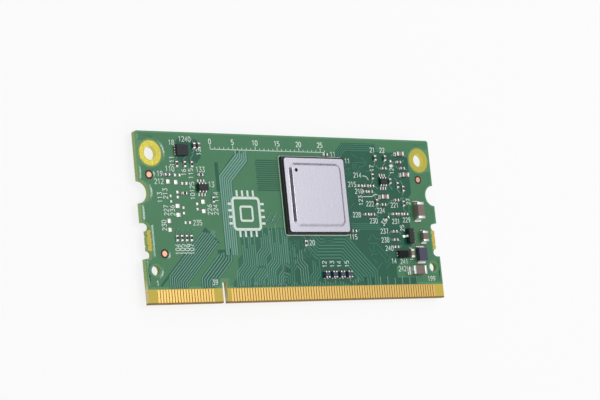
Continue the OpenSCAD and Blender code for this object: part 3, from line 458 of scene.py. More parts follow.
def masked_board_material(settings):
    """Glass-epoxy board under green solder mask: glossy green skin on both faces, and straw
    coloured laminate with darker plies in the cut edges and wherever the mask is open."""
    material, tree, shader, place = start_material("glass_epoxy_board", settings.edge, 0.35)
    axes = add(tree, "ShaderNodeSeparateXYZ", {0: place}).outputs
    middle = add(tree, "ShaderNodeMath", {0: axes["Z"], 1: (FRONT + REAR) / 2 * MM},
                 operation="SUBTRACT")
    depth = add(tree, "ShaderNodeMath", {0: middle}, operation="ABSOLUTE")
    skin = add(tree, "ShaderNodeMath", {0: depth, 1: ((FRONT - REAR) / 2 - MASK_SKIN) * MM},
               operation="GREATER_THAN")
    # The mask is torn back where the holding tabs broke off
    across = add(tree, "ShaderNodeMath", {0: axes["X"]}, operation="ABSOLUTE")
    tear = add(tree, "ShaderNodeTexNoise", {"Vector": place, "Scale": grain(TEAR_SIZE)})
    ragged = add(tree, "ShaderNodeMath", {0: tear, 1: TEAR_REACH * MM, 2: across},
                 operation="MULTIPLY_ADD")
    outside = add(tree, "ShaderNodeMath", {0: ragged, 1: (HALF_W - TEAR_IN) * MM},
                  operation="GREATER_THAN")
    off_tab = add(tree, "ShaderNodeMath", {0: axes["Y"], 1: (EDGE + TAB_UP) * MM},
                  operation="SUBTRACT")
    off_tab = add(tree, "ShaderNodeMath", {0: off_tab}, operation="ABSOLUTE")
    at_tab = add(tree, "ShaderNodeMath", {0: off_tab, 1: (TAB_HALF - TEAR_SHORT) * MM},
                 operation="LESS_THAN")
    torn = add(tree, "ShaderNodeMath", {0: outside, 1: at_tab}, operation="MULTIPLY")
    masked = add(tree, "ShaderNodeMath", {0: skin, 1: torn}, operation="SUBTRACT",
                 use_clamp=True)
    # Plies of glass cloth, drawn thicker than real ones so that they show
    plies = add(tree, "ShaderNodeTexWave", {
        "Vector": place, "Scale": bands(PLY_PITCH), "Distortion": 1.5, "Detail": 2.0,
        "Detail Scale": 2.0}, bands_direction="Z").outputs["Fac"]
    fibre = add(tree, "ShaderNodeTexNoise", {
        "Vector": place, "Scale": grain(FIBRE_SIZE), "Detail": 5.0})
    streak = add(tree, "ShaderNodeMath", {0: plies, 1: fibre}, operation="MULTIPLY")
    level = add(tree, "ShaderNodeMath", {0: facing_up(tree)}, operation="ABSOLUTE")
    # Cut edges by the contacts are painted paler: painted light that stands in for light shining in
    # between the plies
    inner = add(tree, "ShaderNodeMapRange", {
        "Value": axes["Y"], "From Min": (EDGE + CONTACT_TOP) * MM,
        "From Max": (EDGE + KEY_H + PAINTED_LIGHT_ABOVE) * MM})
    wall = add(tree, "ShaderNodeMix", {
        0: inner, MIX_A: (*settings.pale_cut, 1), MIX_B: (*settings.cut, 1)}, data_type="RGBA")
    resin = add(tree, "ShaderNodeMix", {
        0: level, MIX_A: wall.outputs[MIXED], MIX_B: (*settings.laminate, 1)}, data_type="RGBA")
    laminate = add(tree, "ShaderNodeMix", {
        0: streak, MIX_A: resin.outputs[MIXED], MIX_B: (*settings.ply, 1)}, data_type="RGBA")
    # The bevelled edge below the contacts is painted dark brown: painted shade where it faces down
    lip = add(tree, "ShaderNodeMapRange", {
        "Value": axes["Y"], "From Min": (EDGE + CONTACT_LOW) * MM,
        "From Max": (EDGE + CONTACT_LOW + LIP_SHADE_END) * MM})
    laminate = add(tree, "ShaderNodeMix", {
        0: lip, MIX_A: (*settings.lip, 1), MIX_B: laminate.outputs[MIXED]}, data_type="RGBA")
    green = mottle(tree, shader, place, settings.edge, 0.06, 3.0, bump=MASK_PEEL,
                   bump_size=PEEL_SIZE)
    mixed = add(tree, "ShaderNodeMix", {
        0: masked, MIX_A: laminate.outputs[MIXED], MIX_B: green}, data_type="RGBA")
    gloss = add(tree, "ShaderNodeMapRange", {
        "Value": masked, "To Min": CUT_ROUGHNESS, "To Max": MASK_ROUGHNESS})
    plug(tree, shader, {"Base Color": mixed.outputs[MIXED], "Roughness": gloss})
    return material


def brushed_metal_material(name, base, roughness, streak_size, streak_length):
    """Plated metal with faint wiping marks along Y, which stretch its highlights."""
    material, tree, shader, place = start_material(name, base, roughness, 1.0)
    stretched = add(tree, "ShaderNodeMapping", {
        "Vector": place, "Scale": (1.0, streak_size / streak_length, 1.0)})
    marks = add(tree, "ShaderNodeTexNoise", {
        "Vector": stretched, "Scale": grain(streak_size), "Detail": 5.0})
    dark = tuple(c * MARK_DARK for c in base)
    mixed = add(tree, "ShaderNodeMix", {0: marks, MIX_A: (*dark, 1), MIX_B: (*base, 1)},
                data_type="RGBA")
    gloss = add(tree, "ShaderNodeMapRange", {
        "Value": marks, "To Min": roughness - MARK_DULL, "To Max": roughness + MARK_DULL})
    relief = add(tree, "ShaderNodeBump", {
        "Height": marks, "Strength": MARK_RELIEF, "Distance": streak_size * MM})
    plug(tree, shader, {
        "Base Color": mixed.outputs[MIXED], "Roughness": gloss, "Normal": relief})
    return material


def resistor_material(settings):
    """Thick-film chip resistor: black glaze printed on the top of a white alumina chip."""
    material, tree, shader, place = start_material("glazed_alumina", settings.glaze,
                                                   GLAZE_ROUGHNESS)
    top = add(tree, "ShaderNodeMath", {0: facing_up(tree), 1: GLAZED_UP},
              operation="GREATER_THAN")
    glaze = mottle(tree, shader, place, settings.glaze, 0.15, 0.3, 0.0, 0.1, 0.1)
    mixed = add(tree, "ShaderNodeMix", {
        0: top, MIX_A: (*settings.alumina, 1), MIX_B: glaze}, data_type="RGBA")
    gloss = add(tree, "ShaderNodeMapRange", {
        "Value": top, "To Min": ALUMINA_ROUGHNESS, "To Max": GLAZE_ROUGHNESS})
    plug(tree, shader, {"Base Color": mixed.outputs[MIXED], "Roughness": gloss})
    return material


def shading_group():
    """Geometry nodes that shade a joined CAD mesh smooth except over its real edges."""
    name = "Shade by angle"
    if name in bpy.data.node_groups:
        return bpy.data.node_groups[name]
    tree = bpy.data.node_groups.new(name, "GeometryNodeTree")
    tree.interface.new_socket("Geometry", in_out="INPUT", socket_type="NodeSocketGeometry")
    tree.interface.new_socket("Geometry", in_out="OUTPUT", socket_type="NodeSocketGeometry")
    start = add(tree, "NodeGroupInput")
    bare = add(tree, "GeometryNodeRemoveAttribute", {
        "Geometry": start, "Name": "custom_normal"})
    faces = add(tree, "GeometryNodeSetShadeSmooth", {
        "Geometry": bare, "Shade Smooth": True}, domain="FACE")
    angle = add(tree, "GeometryNodeInputMeshEdgeAngle").outputs["Unsigned Angle"]
    soft = add(tree, "FunctionNodeCompare", {0: angle, 1: SMOOTH_ANGLE}, data_type="FLOAT",
               operation="LESS_THAN")
    edges = add(tree, "GeometryNodeSetShadeSmooth", {
        "Geometry": faces, "Shade Smooth": soft}, domain="EDGE")
    add(tree, "NodeGroupOutput", {0: edges})
    return tree


def paint(nodes, material):
    """Gives CAD nodes their material."""
    for node in nodes:
        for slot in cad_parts[node].material_slots:
            slot.material = material


def dress(nodes, material, edge=0.0):
    """Gives CAD nodes their material, joins their triangles, and softens their edges."""
    paint(nodes, material)
    for node in nodes:
        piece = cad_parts[node]
        join = piece.modifiers.new("Join triangles", "WELD")
        join.merge_threshold = JOIN
        flat = piece.modifiers.new("Whole faces", "DECIMATE")
        flat.decimate_type = "DISSOLVE"
        flat.angle_limit = FACET_ANGLE
        if edge:
            round_edges = piece.modifiers.new("Soft edges", "BEVEL")
            round_edges.width = edge
            round_edges.segments = 2
            round_edges.limit_method = "ANGLE"
            round_edges.angle_limit = SOFT_ANGLE
        piece.modifiers.new("Shading", "NODES").node_group = shading_group()
        # Large faces stay flat, and only the narrow ones beside them shade round
        piece.modifiers.new("Flat faces", "WEIGHTED_NORMAL").keep_sharp = True


def coat(nodes, edge, name, base, roughness, metallic=0.0, **variation):
    """Dresses CAD nodes in a mottled material of their own."""
    dress(nodes, mottled_material(name, base, roughness, metallic, **variation), edge)


def new_object(name, bm, material):
    """Makes an object of a mesh, uses the mesh up, and puts the object into the scene."""
    mesh = bpy.data.meshes.new(name)
    bm.to_mesh(mesh)
    bm.free()
    mesh.materials.append(material)
    item = bpy.data.objects.new(name, mesh)
    bpy.context.scene.collection.objects.link(item)
    return item


def new_piece(name, bm, material):
    """Makes a piece of a mesh that was modelled in millimetres on the board."""
    bmesh.ops.recalc_face_normals(bm, faces=bm.faces)
    bmesh.ops.translate(bm, vec=(0, EDGE, 0), verts=bm.verts)
    bmesh.ops.scale(bm, vec=(MM, MM, MM), verts=bm.verts)
    piece = new_object(name, bm, material)
    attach(piece, BODY)


def thicken(bm, faces, rise):
    """Makes closed solids of flat faces by lifting a copy of them."""
    lifted = bmesh.ops.extrude_face_region(bm, geom=faces, use_keep_orig=True)["geom"]
    verts = [item for item in lifted if isinstance(item, bmesh.types.BMVert)]
    bmesh.ops.translate(bm, vec=(0, 0, rise), verts=verts)
    return verts


def slab(bm, corners, low, rise):
    """Adds a flat area with these corners as a closed solid."""
    verts = [bm.verts.new((x, up, low)) for x, up in corners]
    thicken(bm, [bm.faces.new(verts)], rise)


def disc(bm, x, up, middle, radius, thickness):
    """Adds a thin round plate around the height of its middle."""
    bmesh.ops.create_cone(bm, cap_ends=True, segments=32, radius1=radius, radius2=radius,
                          depth=thickness, matrix=Matrix.Translation((x, up, middle)))


def arc(x, up, radius, start, end, steps=16):
    """Points of a round corner or notch, between two angles in degrees."""
    angles = (math.radians(start + (end - start) * i / steps) for i in range(steps + 1))
    return [(x + radius * math.cos(a), up + radius * math.sin(a)) for a in angles]


def mitred(points):
    """Points of a path, each with the sideways step that keeps a strip's width even."""
    closed = points[0] == points[-1]
    path = [Vector(p) for p in (points[:-1] if closed else points)]
    result = []
    for i, point in enumerate(path):
        sides = []
        if closed or i > 0:
            sides.append((point - path[i - 1]).normalized().orthogonal())
        if closed or i < len(path) - 1:
            sides.append((path[(i + 1) % len(path)] - point).normalized().orthogonal())
        step = sum(sides, Vector((0, 0))).normalized()
        result.append((point, step / max(0.5, step.dot(sides[0]))))
    return result


def ribbons(bm, strokes, low, rise, slope=0.0):
    """Adds a flat strip along each path, as a closed solid that is narrower at its top."""
    across, edges = {}, []
    for points, width in strokes:
        line = mitred(points)
        verts = [bm.verts.new((*(point + step * width / 2), low)) for point, step in line]
        across.update((vert, step * -width) for vert, (_, step) in zip(verts, line))
        pairs = list(zip(verts, verts[1:]))
        if points[0] == points[-1]:
            pairs.append((verts[-1], verts[0]))
        edges += [bm.edges.new(pair) for pair in pairs]
    made = bmesh.ops.extrude_edge_only(bm, edges=edges)["geom"]
    far = {item for item in made if isinstance(item, bmesh.types.BMVert)}
    for vert, move in list(across.items()):
        other = next(e.other_vert(vert) for e in vert.link_edges if e.other_vert(vert) in far)
        other.co.xy += move
        across[other] = -move
    faces = [item for item in made if isinstance(item, bmesh.types.BMFace)]
    for top in thicken(bm, faces, rise):
        foot = next(e.other_vert(top) for e in top.link_edges if e.other_vert(top) in across)
        top.co.xy += across[foot].normalized() * slope


def strip_piece(name, strokes, low, rise, material):
    """A piece of the board that is made of flat strips."""
    bm = bmesh.new()
    ribbons(bm, strokes, low, rise)
    new_piece(name, bm, material)


def solids(node):
    """Lowest and highest corner of each solid of a CAD node, in millimetres on the board."""
    bm = bmesh.new()
    bm.from_mesh(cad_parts[node].data)
    bmesh.ops.remove_doubles(bm, verts=bm.verts, dist=JOIN)
    boxes = []
    for first in bm.verts:
        if first.tag:
            continue
        first.tag = True
        group = [first]
        for vert in group:
            for edge in vert.link_edges:
                other = edge.other_vert(vert)
                if not other.tag:
                    other.tag = True
                    group.append(other)
        corners = [[pick(v.co[axis] for v in group) / MM for axis in range(3)]
                   for pick in (min, max)]
        boxes.append(tuple(Vector((x, y - EDGE, z)) for x, y, z in corners))
    bm.free()
    return boxes


def number_strokes(x, up, turn, number, height, stroke):
    """Paths of a printed number, centred on its place."""
    unit = height / 4
    advance = 3 * unit
    start = -(len(number) * advance - unit) / 2
    spin = Matrix.Rotation(math.radians(turn), 2)
    strokes = []
    for i, digit in enumerate(number):
        points = [spin @ Vector((start + i * advance + px * unit, (py - 2) * unit))
                  for px, py in DIGITS[digit]]
        strokes.append(([(x + p.x, up + p.y) for p in points], stroke))
    return strokes


def square_path(x, up, half, corner):
    """Closed path of a square with rounded corners."""
    inner = half - corner
    path = []
    for start, sx, sy in ((0, 1, 1), (90, -1, 1), (180, -1, -1), (270, 1, -1)):
        path += arc(x + sx * inner, up + sy * inner, corner, start, start + 90, 4)
    return path + path[:1]


def plane_outline(margin):
    """Outline of a copper plane, which keeps clear of the board's edge and its cut-outs."""
    side, top, bottom = HALF_W - margin, HEIGHT - margin, CONTACT_TOP + CONTACT_CLEAR
    notch = LATCH_R + margin
    notch_angle = math.degrees(math.acos(margin / notch))
    ring = RING_D / 2 + RING_CLEAR
    # The plane ends where only a sliver of it would be left beside a mounting ring
    ring_angle = math.degrees(math.acos((side - PLANE_NECK - RING_X) / ring))
    ring_step = ring * math.sin(math.radians(ring_angle))
    tab, tab_x = TAB_HALF + margin, HALF_W - TAB_DEPTH - margin
    right = [(side, bottom), (side, TAB_UP - tab), (tab_x, TAB_UP - tab + TAB_SLANT),
             (tab_x, TAB_UP + tab - TAB_SLANT), (side, TAB_UP + tab)]
    right += arc(HALF_W, LATCH_UP, notch, 180 + notch_angle, 180 - notch_angle)
    right.append((side, RING_UP - ring_step))
    right += arc(RING_X, RING_UP, ring, -ring_angle, ring_angle - 360, 24)
    right += [(side, RING_UP + ring_step), (side, top)]
    left = [(-x, up) for x, up in reversed(right)]
    key = [(KEY_X + s * (KEY_HALF + KEY_CLEAR), up) for s, up in (
        (-1, bottom), (-1, KEY_H + KEY_CLEAR), (1, KEY_H + KEY_CLEAR), (1, bottom))]
    return right + left + key


def copper_plane(name, material, openings, low, rise, margin, slope):
    """A copper plane under its mask, which runs down to the bare board around it."""
    bm = bmesh.new()
    verts = [bm.verts.new((x, up, low)) for x, up in plane_outline(margin)]
    for pair in zip(verts, verts[1:] + verts[:1]):
        bm.edges.new(pair)
    for x, up, radius in openings:
        bmesh.ops.create_circle(bm, segments=32, radius=radius,
                                matrix=Matrix.Translation((x, up, low)))
    bmesh.ops.triangle_fill(bm, use_beauty=True, edges=bm.edges[:])
    lifted = set(thicken(bm, bm.faces[:], rise * PLANE_STEP))
    top = [face for face in bm.faces if lifted.issuperset(face.verts)]
    bmesh.ops.inset_region(bm, faces=top, thickness=slope, depth=0.0, use_even_offset=True)
    bmesh.ops.translate(bm, vec=(0, 0, rise * (1 - PLANE_STEP)),
                        verts=list({v for f in top for v in f.verts}))
    new_piece(name, bm, material)


def via_solids(bm, places, low, rise, width):
    """Adds covered vias: low round pads with a dimple over the drilled hole."""
    side = 1 if rise > 0 else -1
    for x, up in places:
        pad = bmesh.ops.create_cone(
            bm, cap_ends=True, segments=10, radius1=width / 2, radius2=width / 2 - TRACE_SLOPE,
            depth=abs(rise), matrix=Matrix.Translation((x, up, low + rise / 2))
            @ Matrix.Diagonal((1, 1, side, 1)))
        top = max({f for v in pad["verts"] for f in v.link_faces},
                  key=lambda face: side * face.calc_center_median().z)
        bmesh.ops.inset_region(bm, faces=[top], thickness=width * DIMPLE_RIM, depth=0.0)
        bmesh.ops.translate(bm, vec=(0, 0, -rise * DIMPLE_DEPTH), verts=top.verts)


def bundle_paths(bundle, rng):
    """Paths of the traces of a bundle, which run side by side and end unevenly."""
    points, count, pitch, share, uneven = bundle
    paths = []
    for i in range(count):
        offset = (i - (count - 1) / 2) * pitch
        path = [point + step * offset for point, step in mitred(points)]
        path[-1] += (path[-1] - path[-2]).normalized() * rng.uniform(-uneven, uneven)
        paths.append(([tuple(p) for p in path], pitch * share))
    return paths


def stray_paths(area, grid, rng):
    """Short crooked traces that fill an area along a grid without touching each other."""
    left, low, right, high, attempts = area
    columns, rows = int((right - left) / grid), int((high - low) / grid)
    headings = ((1, 0), (1, 1), (0, 1), (-1, 1), (-1, 0))
    taken, paths = set(), []
    for _ in range(attempts):
        cell = (rng.randrange(columns), rng.randrange(rows))
        heading, reach = rng.randrange(1, 4), rng.randrange(*STRAY_REACH)
        cells = []
        while (len(cells) < reach and cell not in taken and cell not in cells
               and 0 <= cell[0] <= columns and 0 <= cell[1] <= rows):
            cells.append(cell)
            if rng.random() < STRAY_TURN:
                heading = min(4, max(0, heading + rng.choice((-1, 1))))
            step = headings[heading]
            if step[0] and step[1] and (cell[0], cell[1] + 1) in taken:
                break
            cell = (cell[0] + step[0], cell[1] + step[1])
        if len(cells) > 2:
            taken.update(cells)
            taken.update((x, y + 1) for x, y in cells[:-1])
            paths.append([(left + x * grid, low + y * grid) for x, y in cells])
    return paths


def chip_paths(rng):
    """Short traces that leave the ends of the chip parts, each to a via of its own."""
    paths = []
    for body_node, cap_node in CHIP_NODES:
        bodies = [(low + high) / 2 for low, high in solids(body_node)]
        for low, high in solids(cap_node):
            middle = (low + high) / 2
            body = min(bodies, key=lambda centre: (centre - middle).length)
            out = (middle - body).xy.normalized()
            start = middle.xy + out * CHIP_START
            bend = start + out * rng.uniform(*CHIP_LEG)
            turn = Matrix.Rotation(math.radians(rng.choice((-45, 45))), 2) @ out
            end = bend + turn * rng.uniform(*CHIP_END)
            paths.append([tuple(start), tuple(bend), tuple(end)])
    return paths


class MODULE_OT_board(bpy.types.Operator):
    """Finish the circuit board and lay the copper planes under its mask"""
    bl_idname = "module.board"
    bl_label = "Board and planes"

    def execute(self, context):
        settings = context.scene.module_board
        dress(["circuit_board"], masked_board_material(settings))
        # Mask over unbroken copper: a warm mid green that mirrors lamps along its sloping borders
        mask = mask_material("solder_mask_over_copper", settings.plane, 0.07, 4.0)
        margin, rise = settings.plane_margin / MM, settings.copper_rise / MM
        slope = settings.plane_slope / MM
        holes = [(s * LOCATING_X, LOCATING_UP, LOCATING_R + HOLE_CLEAR) for s in (-1, 1)]
        dots = [((low + high) / 2).xy for low, high in solids("fiducial_dots")]
        openings = [(*dot, DOT_OPEN_R) for dot in dots]
        copper_plane("front_plane", mask, holes + openings, FRONT, rise, margin, slope)
        copper_plane("rear_plane", mask, holes, REAR, -rise, margin, slope)
        # Bare laminate in the openings is dark because no copper lies under it
        dark = mottled_material("bare_glass_epoxy", linear("#2c231a"), 0.5, depth=0.2,
                                size=0.3, bump=0.15, bump_size=0.1)
        low = box_mm("fiducial_dots")[0].z
        bm = bmesh.new()
        for dot in dots:
            disc(bm, *dot, low + DOT_BARE_UP, DOT_BARE_R, DOT_BARE_T)
        new_piece("fiducial_openings", bm, dark)
        return {"FINISHED"}


class MODULE_OT_traces(bpy.types.Operator):
    """Route the traces and vias of both faces under the mask"""
    bl_idname = "module.traces"
    bl_label = "Traces and vias"

    def execute(self, context):
        settings = context.scene.module_board
        # Mask over copper lines is lighter than over the open board between them
        trace = mask_material("solder_mask_over_traces", settings.trace, 0.08, 3.0)
        gap = mask_material("solder_mask_over_gaps", settings.gap, 0.1, 2.0)
        faint = mask_material("solder_mask_over_faint_traces", settings.faint, 0.08, 3.0)
        thin = mask_material("solder_mask_over_inner_copper", settings.thin, 0.08, 3.0)
        rng = random.Random(SEED)
        self.open_mask(settings)
        looks = trace, faint, gap, thin
        self.lay("front", settings, FRONT_COPPER, chip_paths(rng), looks, FRONT, 1, rng)
        self.lay("rear", settings, REAR_COPPER, [], looks, REAR, -1, rng)
        return {"FINISHED"}

    def open_mask(self, settings):
        """Dark rims of bare board around the solder pads and between the contacts: bare board with
        painted shade.
        """
        # Bare laminate where copper was etched away, painted dark brown as painted shade at the pad
        # rims and between the contacts: dull and a little rough
        bare = mottled_material("etched_epoxy_and_painted_shade", settings.opening, 0.6, depth=0.2,
                                size=0.3, bump=0.15, bump_size=0.1)
        rise = settings.copper_rise / MM
        strips = []
        for node in ("bare_solder_pads", "front_solder_joints"):
            for low, high in solids(node):
                up = (low.y + high.y) / 2
                strips.append((((low.x - PAD_RIM, up), (high.x + PAD_RIM, up)),
                               high.y - low.y + 2 * PAD_RIM))
        bm = bmesh.new()
        for i, strip in enumerate(strips):
            ribbons(bm, [strip], FRONT, rise + APART * (12 + i % 4))
        new_piece("front_pad_rims_and_shade", bm, bare)
        for face in ("front", "rear"):
            contacts = sorted(solids(face + "_contacts"), key=lambda box: box[0].x)
            level = contacts[0][0].z if face == "front" else contacts[0][1].z
            rise = CONTACT_GAP_RISE if face == "front" else -CONTACT_GAP_RISE
            strips = [(((a[1].x + b[0].x) / 2, a[0].y), ((a[1].x + b[0].x) / 2, a[1].y),
                       b[0].x - a[1].x) for a, b in zip(contacts, contacts[1:])]
            strips = [((start, end), wide) for start, end, wide in strips if wide < CONTACT_GAP]
            strip_piece(face + "_contact_gap_shade", strips, level, rise, bare)

    def lay(self, face, settings, copper, singles, looks, level, side, rng):
        """Lays the open areas and strips of one face, then the traces and vias in them."""
        trace, faint, gap, thin = looks
        rise = side * settings.copper_rise / MM
        width, room = settings.trace_width / MM, settings.trace_gap / MM
        strays = [path for field in copper["strays"]
                  for path in stray_paths(field, settings.stray_grid / MM, rng)]
        bundles = copper["bundles"] + copper["faint_bundles"]
        open_strips = list(copper["splits"])
        open_strips += [(path, width + 2 * room) for path in singles + strays]
        open_strips += [(points, (count - 1 + share) * pitch + 2 * room)
                        for points, count, pitch, share, _ in bundles]
        bm = bmesh.new()
        for i, corners in enumerate(copper["areas"]):
            slab(bm, corners, level, rise + side * APART * (i + 1))
        for i, strip in enumerate(open_strips):
            ribbons(bm, [strip], level, rise + side * APART * (4 + i % 8))
        new_piece(face + "_gaps", bm, gap)
        for corners in copper["thin_areas"]:
            bm = bmesh.new()
            slab(bm, corners, level, rise + side * APART * 3)
            new_piece(face + "_thin_area", bm, thin)
        for name, group, lone, look in (("traces", "bundles", singles, trace),
                                        ("faint_traces", "faint_bundles", strays, faint)):
            fine = copper["fine_bundles"] if group == "bundles" else ()
            lines = [line for bundle in copper[group] + fine
                     for line in bundle_paths(bundle, rng)]
            lines += [(path, width) for path in lone]
            bm = bmesh.new()
            ribbons(bm, lines, level, rise * TRACE_RISE, TRACE_SLOPE)
            via_solids(bm, [path[-1] for path, _ in lines], level, rise * VIA_RISE,
                       settings.via_width / MM)
            new_piece(face + "_" + name, bm, look)


class MODULE_OT_print(bpy.types.Operator):
    """Print the numbers, outlines, pictogram and ruler on the mask"""
    bl_idname = "module.print"
    bl_label = "Print"

    def execute(self, context):
        settings = context.scene.module_board
        height, stroke = settings.digit_height / MM, settings.digit_stroke / MM
        rise = settings.ink_rise / MM
        # Screen-printed epoxy ink: dull white that is a little thin in places
        ink = mottled_material("screen_printed_ink", settings.ink, 0.55, depth=0.12, size=0.4,
                               rough=0.05, bump=0.2, bump_size=0.12)
        strip_piece("front_numbers", [
            line for place in FRONT_NUMBERS
            for line in number_strokes(*place, height, stroke)], FRONT, rise, ink)
        bm = bmesh.new()
        ribbons(bm, [line for place in REAR_NUMBERS
                     for line in number_strokes(*place, height, stroke)], REAR, -rise)
        bmesh.ops.scale(bm, vec=(-1, 1, 1), verts=bm.verts)
        new_piece("rear_numbers", bm, ink)
        strip_piece("front_outlines", self.outlines(), FRONT, rise, ink)
        strip_piece("chip_pictogram", self.pictogram(*PICTOGRAM), FRONT, rise, ink)
        strip_piece("printed_ruler", self.ruler(*RULER, RULER_LENGTH), FRONT, rise, ink)
        return {"FINISHED"}

    def outlines(self):
        """The outline round the processor and the lines that lead to parts."""
        middle = (PACKAGE_LOW + PACKAGE_HIGH) / 2
        half = (PACKAGE_HIGH.x - PACKAGE_LOW.x) / 2 + OUTLINE_OFF
        outline = square_path(middle.x, middle.y - EDGE, half, OUTLINE_CORNER)
        return [(outline, OUTLINE_LINE)] + [(line, LEADER_LINE) for line in LEADERS]

    def pictogram(self, x, up):
        """A plain drawing of a chip: a frame, an inner square and short pins."""
        strokes = [(square_path(x, up, half, corner), line) for half, corner, line in SQUARES]
        for pin in PINS:
            for side in (-1, 1):
                strokes.append((((x + pin, up + side * PIN_START),
                                 (x + pin, up + side * PIN_HIGH)), PIN_LINE))
                strokes.append((((x + side * PIN_START, up + pin),
                                 (x + side * PIN_WIDE, up + pin)), PIN_LINE))
        return strokes

    def ruler(self, x, up, count):
        """A ruler with a mark at each millimetre and a number at every fifth."""
        above, height, stroke = RULER_NUMBER
        strokes = [(((x, up), (x + count, up)), RULER_LINE)]
        for i in range(count + 1):
            numbered = i % RULER_STEP == 0
            mark = MARK_TALL if numbered else MARK_SHORT
            strokes.append((((x + i, up), (x + i, up + mark)), RULER_LINE))
            if numbered:
                strokes += number_strokes(x + i, up + above, 0, str(i), height, stroke)
        return strokes


class MODULE_OT_plating(bpy.types.Operator):
    """Plate the contacts, the mounting rings and the registration dots"""
    bl_idname = "module.plating"
    bl_label = "Plated metal"

    def execute(self, context):
        metal = context.scene.module_metal
        # Hard gold over nickel, wiped along its length by each insertion
        gold = brushed_metal_material("hard_gold_plate", metal.contact, 0.2, 0.12, 2.0)
        dress(["front_contacts", "rear_contacts"], gold)
        # Immersion gold on copper: paler yellow, with the copper's grain in it
        coat(["mounting_hole_platings"], 0.0, "immersion_gold", metal.ring, 0.12, 1.0,
             depth=0.07, size=0.5, bump=0.012, bump_size=0.15)
        # Etched copper kept bright by a clear coat
        coat(["fiducial_dots"], 0.0, "etched_copper", metal.copper, 0.35, 1.0, depth=0.1,
             size=0.3, bump=0.15, bump_size=0.1)
        return {"FINISHED"}


class MODULE_OT_processor(bpy.types.Operator):
    """Finish the processor package, its lid and what is under the lid"""
    bl_idname = "module.processor"
    bl_label = "Processor"

    def execute(self, context):
        metal, part = context.scene.module_metal, context.scene.module_parts
        # Stamped copper lid in satin nickel: soft lavender grey with a fine rolled grain
        nickel = brushed_metal_material("satin_nickel_plate", metal.nickel, 0.28, 0.25, 3.0)
        dress(["processor_lid"], nickel)
        # Package board of black-green resin with a dull cut edge
        coat(["processor_substrate"], part.soft_edge, "package_resin", part.substrate, 0.5,
             depth=0.15, size=0.5, bump=0.1, bump_size=0.15)
        # Silicone bead, dark and slightly shiny
        coat(["lid_seal"], 0.0, "silicone_seal", linear("#1d1d1f"), 0.45, bump_size=0.2)
        # Polished silicon is a dark blue-grey mirror
        coat(["processor_die"], 0.0, "polished_silicon", linear("#4a505a"), 0.15, 0.6,
             depth=0.04)
        # Filled silicone grease, pale grey and dull
        coat(["thermal_paste"], 0.0, "thermal_grease", linear("#b9bbbd"), 0.7, bump_size=0.3)
        # Marking ink in the dimple at the first corner
        ink = mottled_material("marking_ink", linear("#0c0c11"), 0.6, depth=0.15, size=0.2,
                               specular=0.2)
        bm = bmesh.new()
        disc(bm, LID_LOW.x + INK_IN, LID_HIGH.y - EDGE - INK_IN, LID_HIGH.z - INK_DOWN, INK_R,
             INK_T)
        new_piece("corner_mark_ink", bm, ink)
        return {"FINISHED"}


class MODULE_OT_packages(bpy.types.Operator):
    """Finish the moulded packages and their leads"""
    bl_idname = "module.packages"
    bl_label = "Moulded packages"

    def execute(self, context):
        metal, part = context.scene.module_metal, context.scene.module_parts
        # Silica-filled epoxy from a spark-eroded mould: matt black with fine pale specks
        coat(["memory_body", "flash_body", "settings_memory_body", "driver_body",
              "regulator_body", "transistor_body"], part.soft_edge, "moulded_epoxy",
             part.mould, 0.55, depth=0.18, size=0.15, rough=0.06, bump=0.2, bump_size=0.12)
        # Transfer-moulded epoxy from a polished mould: smoother, and an even deep black
        coat(["power_switch_body"], part.soft_edge, "polished_epoxy", part.black, 0.5,
             depth=0.15, size=0.2, bump=0.05, bump_size=0.12, specular=0.2)
        # Matt tin on copper leads
        coat(["settings_memory_terminals", "driver_leads", "regulator_leads",
              "transistor_leads", "power_switch_terminals", "inductor_terminals"],
             part.soft_edge / 2, "matt_tin_leads", metal.tin, 0.34, 1.0, depth=0.06, size=0.2,
             bump=0.1, bump_size=0.1)
        return {"FINISHED"}


class MODULE_OT_chips(bpy.types.Operator):
    """Finish the chip resistors, capacitors, inductor and chokes"""
    bl_idname = "module.chips"
    bl_label = "Chip parts"

    def execute(self, context):
        metal, part = context.scene.module_metal, context.scene.module_parts
        dress(["resistor_bodies"], resistor_material(part), part.soft_edge / 2)
        # Fired barium titanate: fine matt ceramic, pinkish beige to brown-grey by its mix
        for name, base, nodes in (
                ("beige_ceramic", part.ceramic,
                 ["small_capacitor_bodies", "rear_capacitor_bodies"]),
                ("tan_ceramic", part.tan_ceramic, ["medium_capacitor_bodies"]),
                ("brown_grey_ceramic", part.grey_ceramic,
                 ["large_capacitor_bodies", "broad_capacitor_body"])):
            coat(nodes, part.soft_edge, name, base, 0.5, depth=0.1, size=0.6, bump=0.08,
                 bump_size=0.1)
        # Pressed ferrite: blue-grey, semi-matt, with a powdery grain
        coat(["inductor_body", "choke_bodies"], part.soft_edge, "pressed_ferrite",
             part.ferrite, 0.42, depth=0.12, size=0.2, bump=0.15, bump_size=0.1)
        # Plated tin on dipped silver ends: bright, a little uneven
        coat(["resistor_caps", "small_capacitor_caps", "medium_capacitor_caps",
              "large_capacitor_caps", "broad_capacitor_caps", "rear_capacitor_caps",
              "choke_terminals"], part.soft_edge / 3, "plated_tin_ends", metal.tin, 0.3, 1.0,
             depth=0.06, size=0.25, bump=0.15, bump_size=0.15)
        return {"FINISHED"}


class MODULE_OT_solder(bpy.types.Operator):
    """Finish the solder joints, pads and balls"""
    bl_idname = "module.solder"
    bl_label = "Solder"

    def execute(self, context):
        # Tin-silver-copper solder, frozen with a bright but slightly grainy skin
        solder = mottled_material("tin_silver_solder", context.scene.module_metal.solder, 0.26,
                                  1.0, depth=0.06, size=0.3, bump=0.15, bump_size=0.12)
        dress(["bare_solder_pads", "front_solder_joints", "rear_solder_joints"], solder)
        # The balls hide under their packages and stay as they were modelled
        paint(["processor_balls", "memory_balls", "flash_balls"], solder)
        return {"FINISHED"}


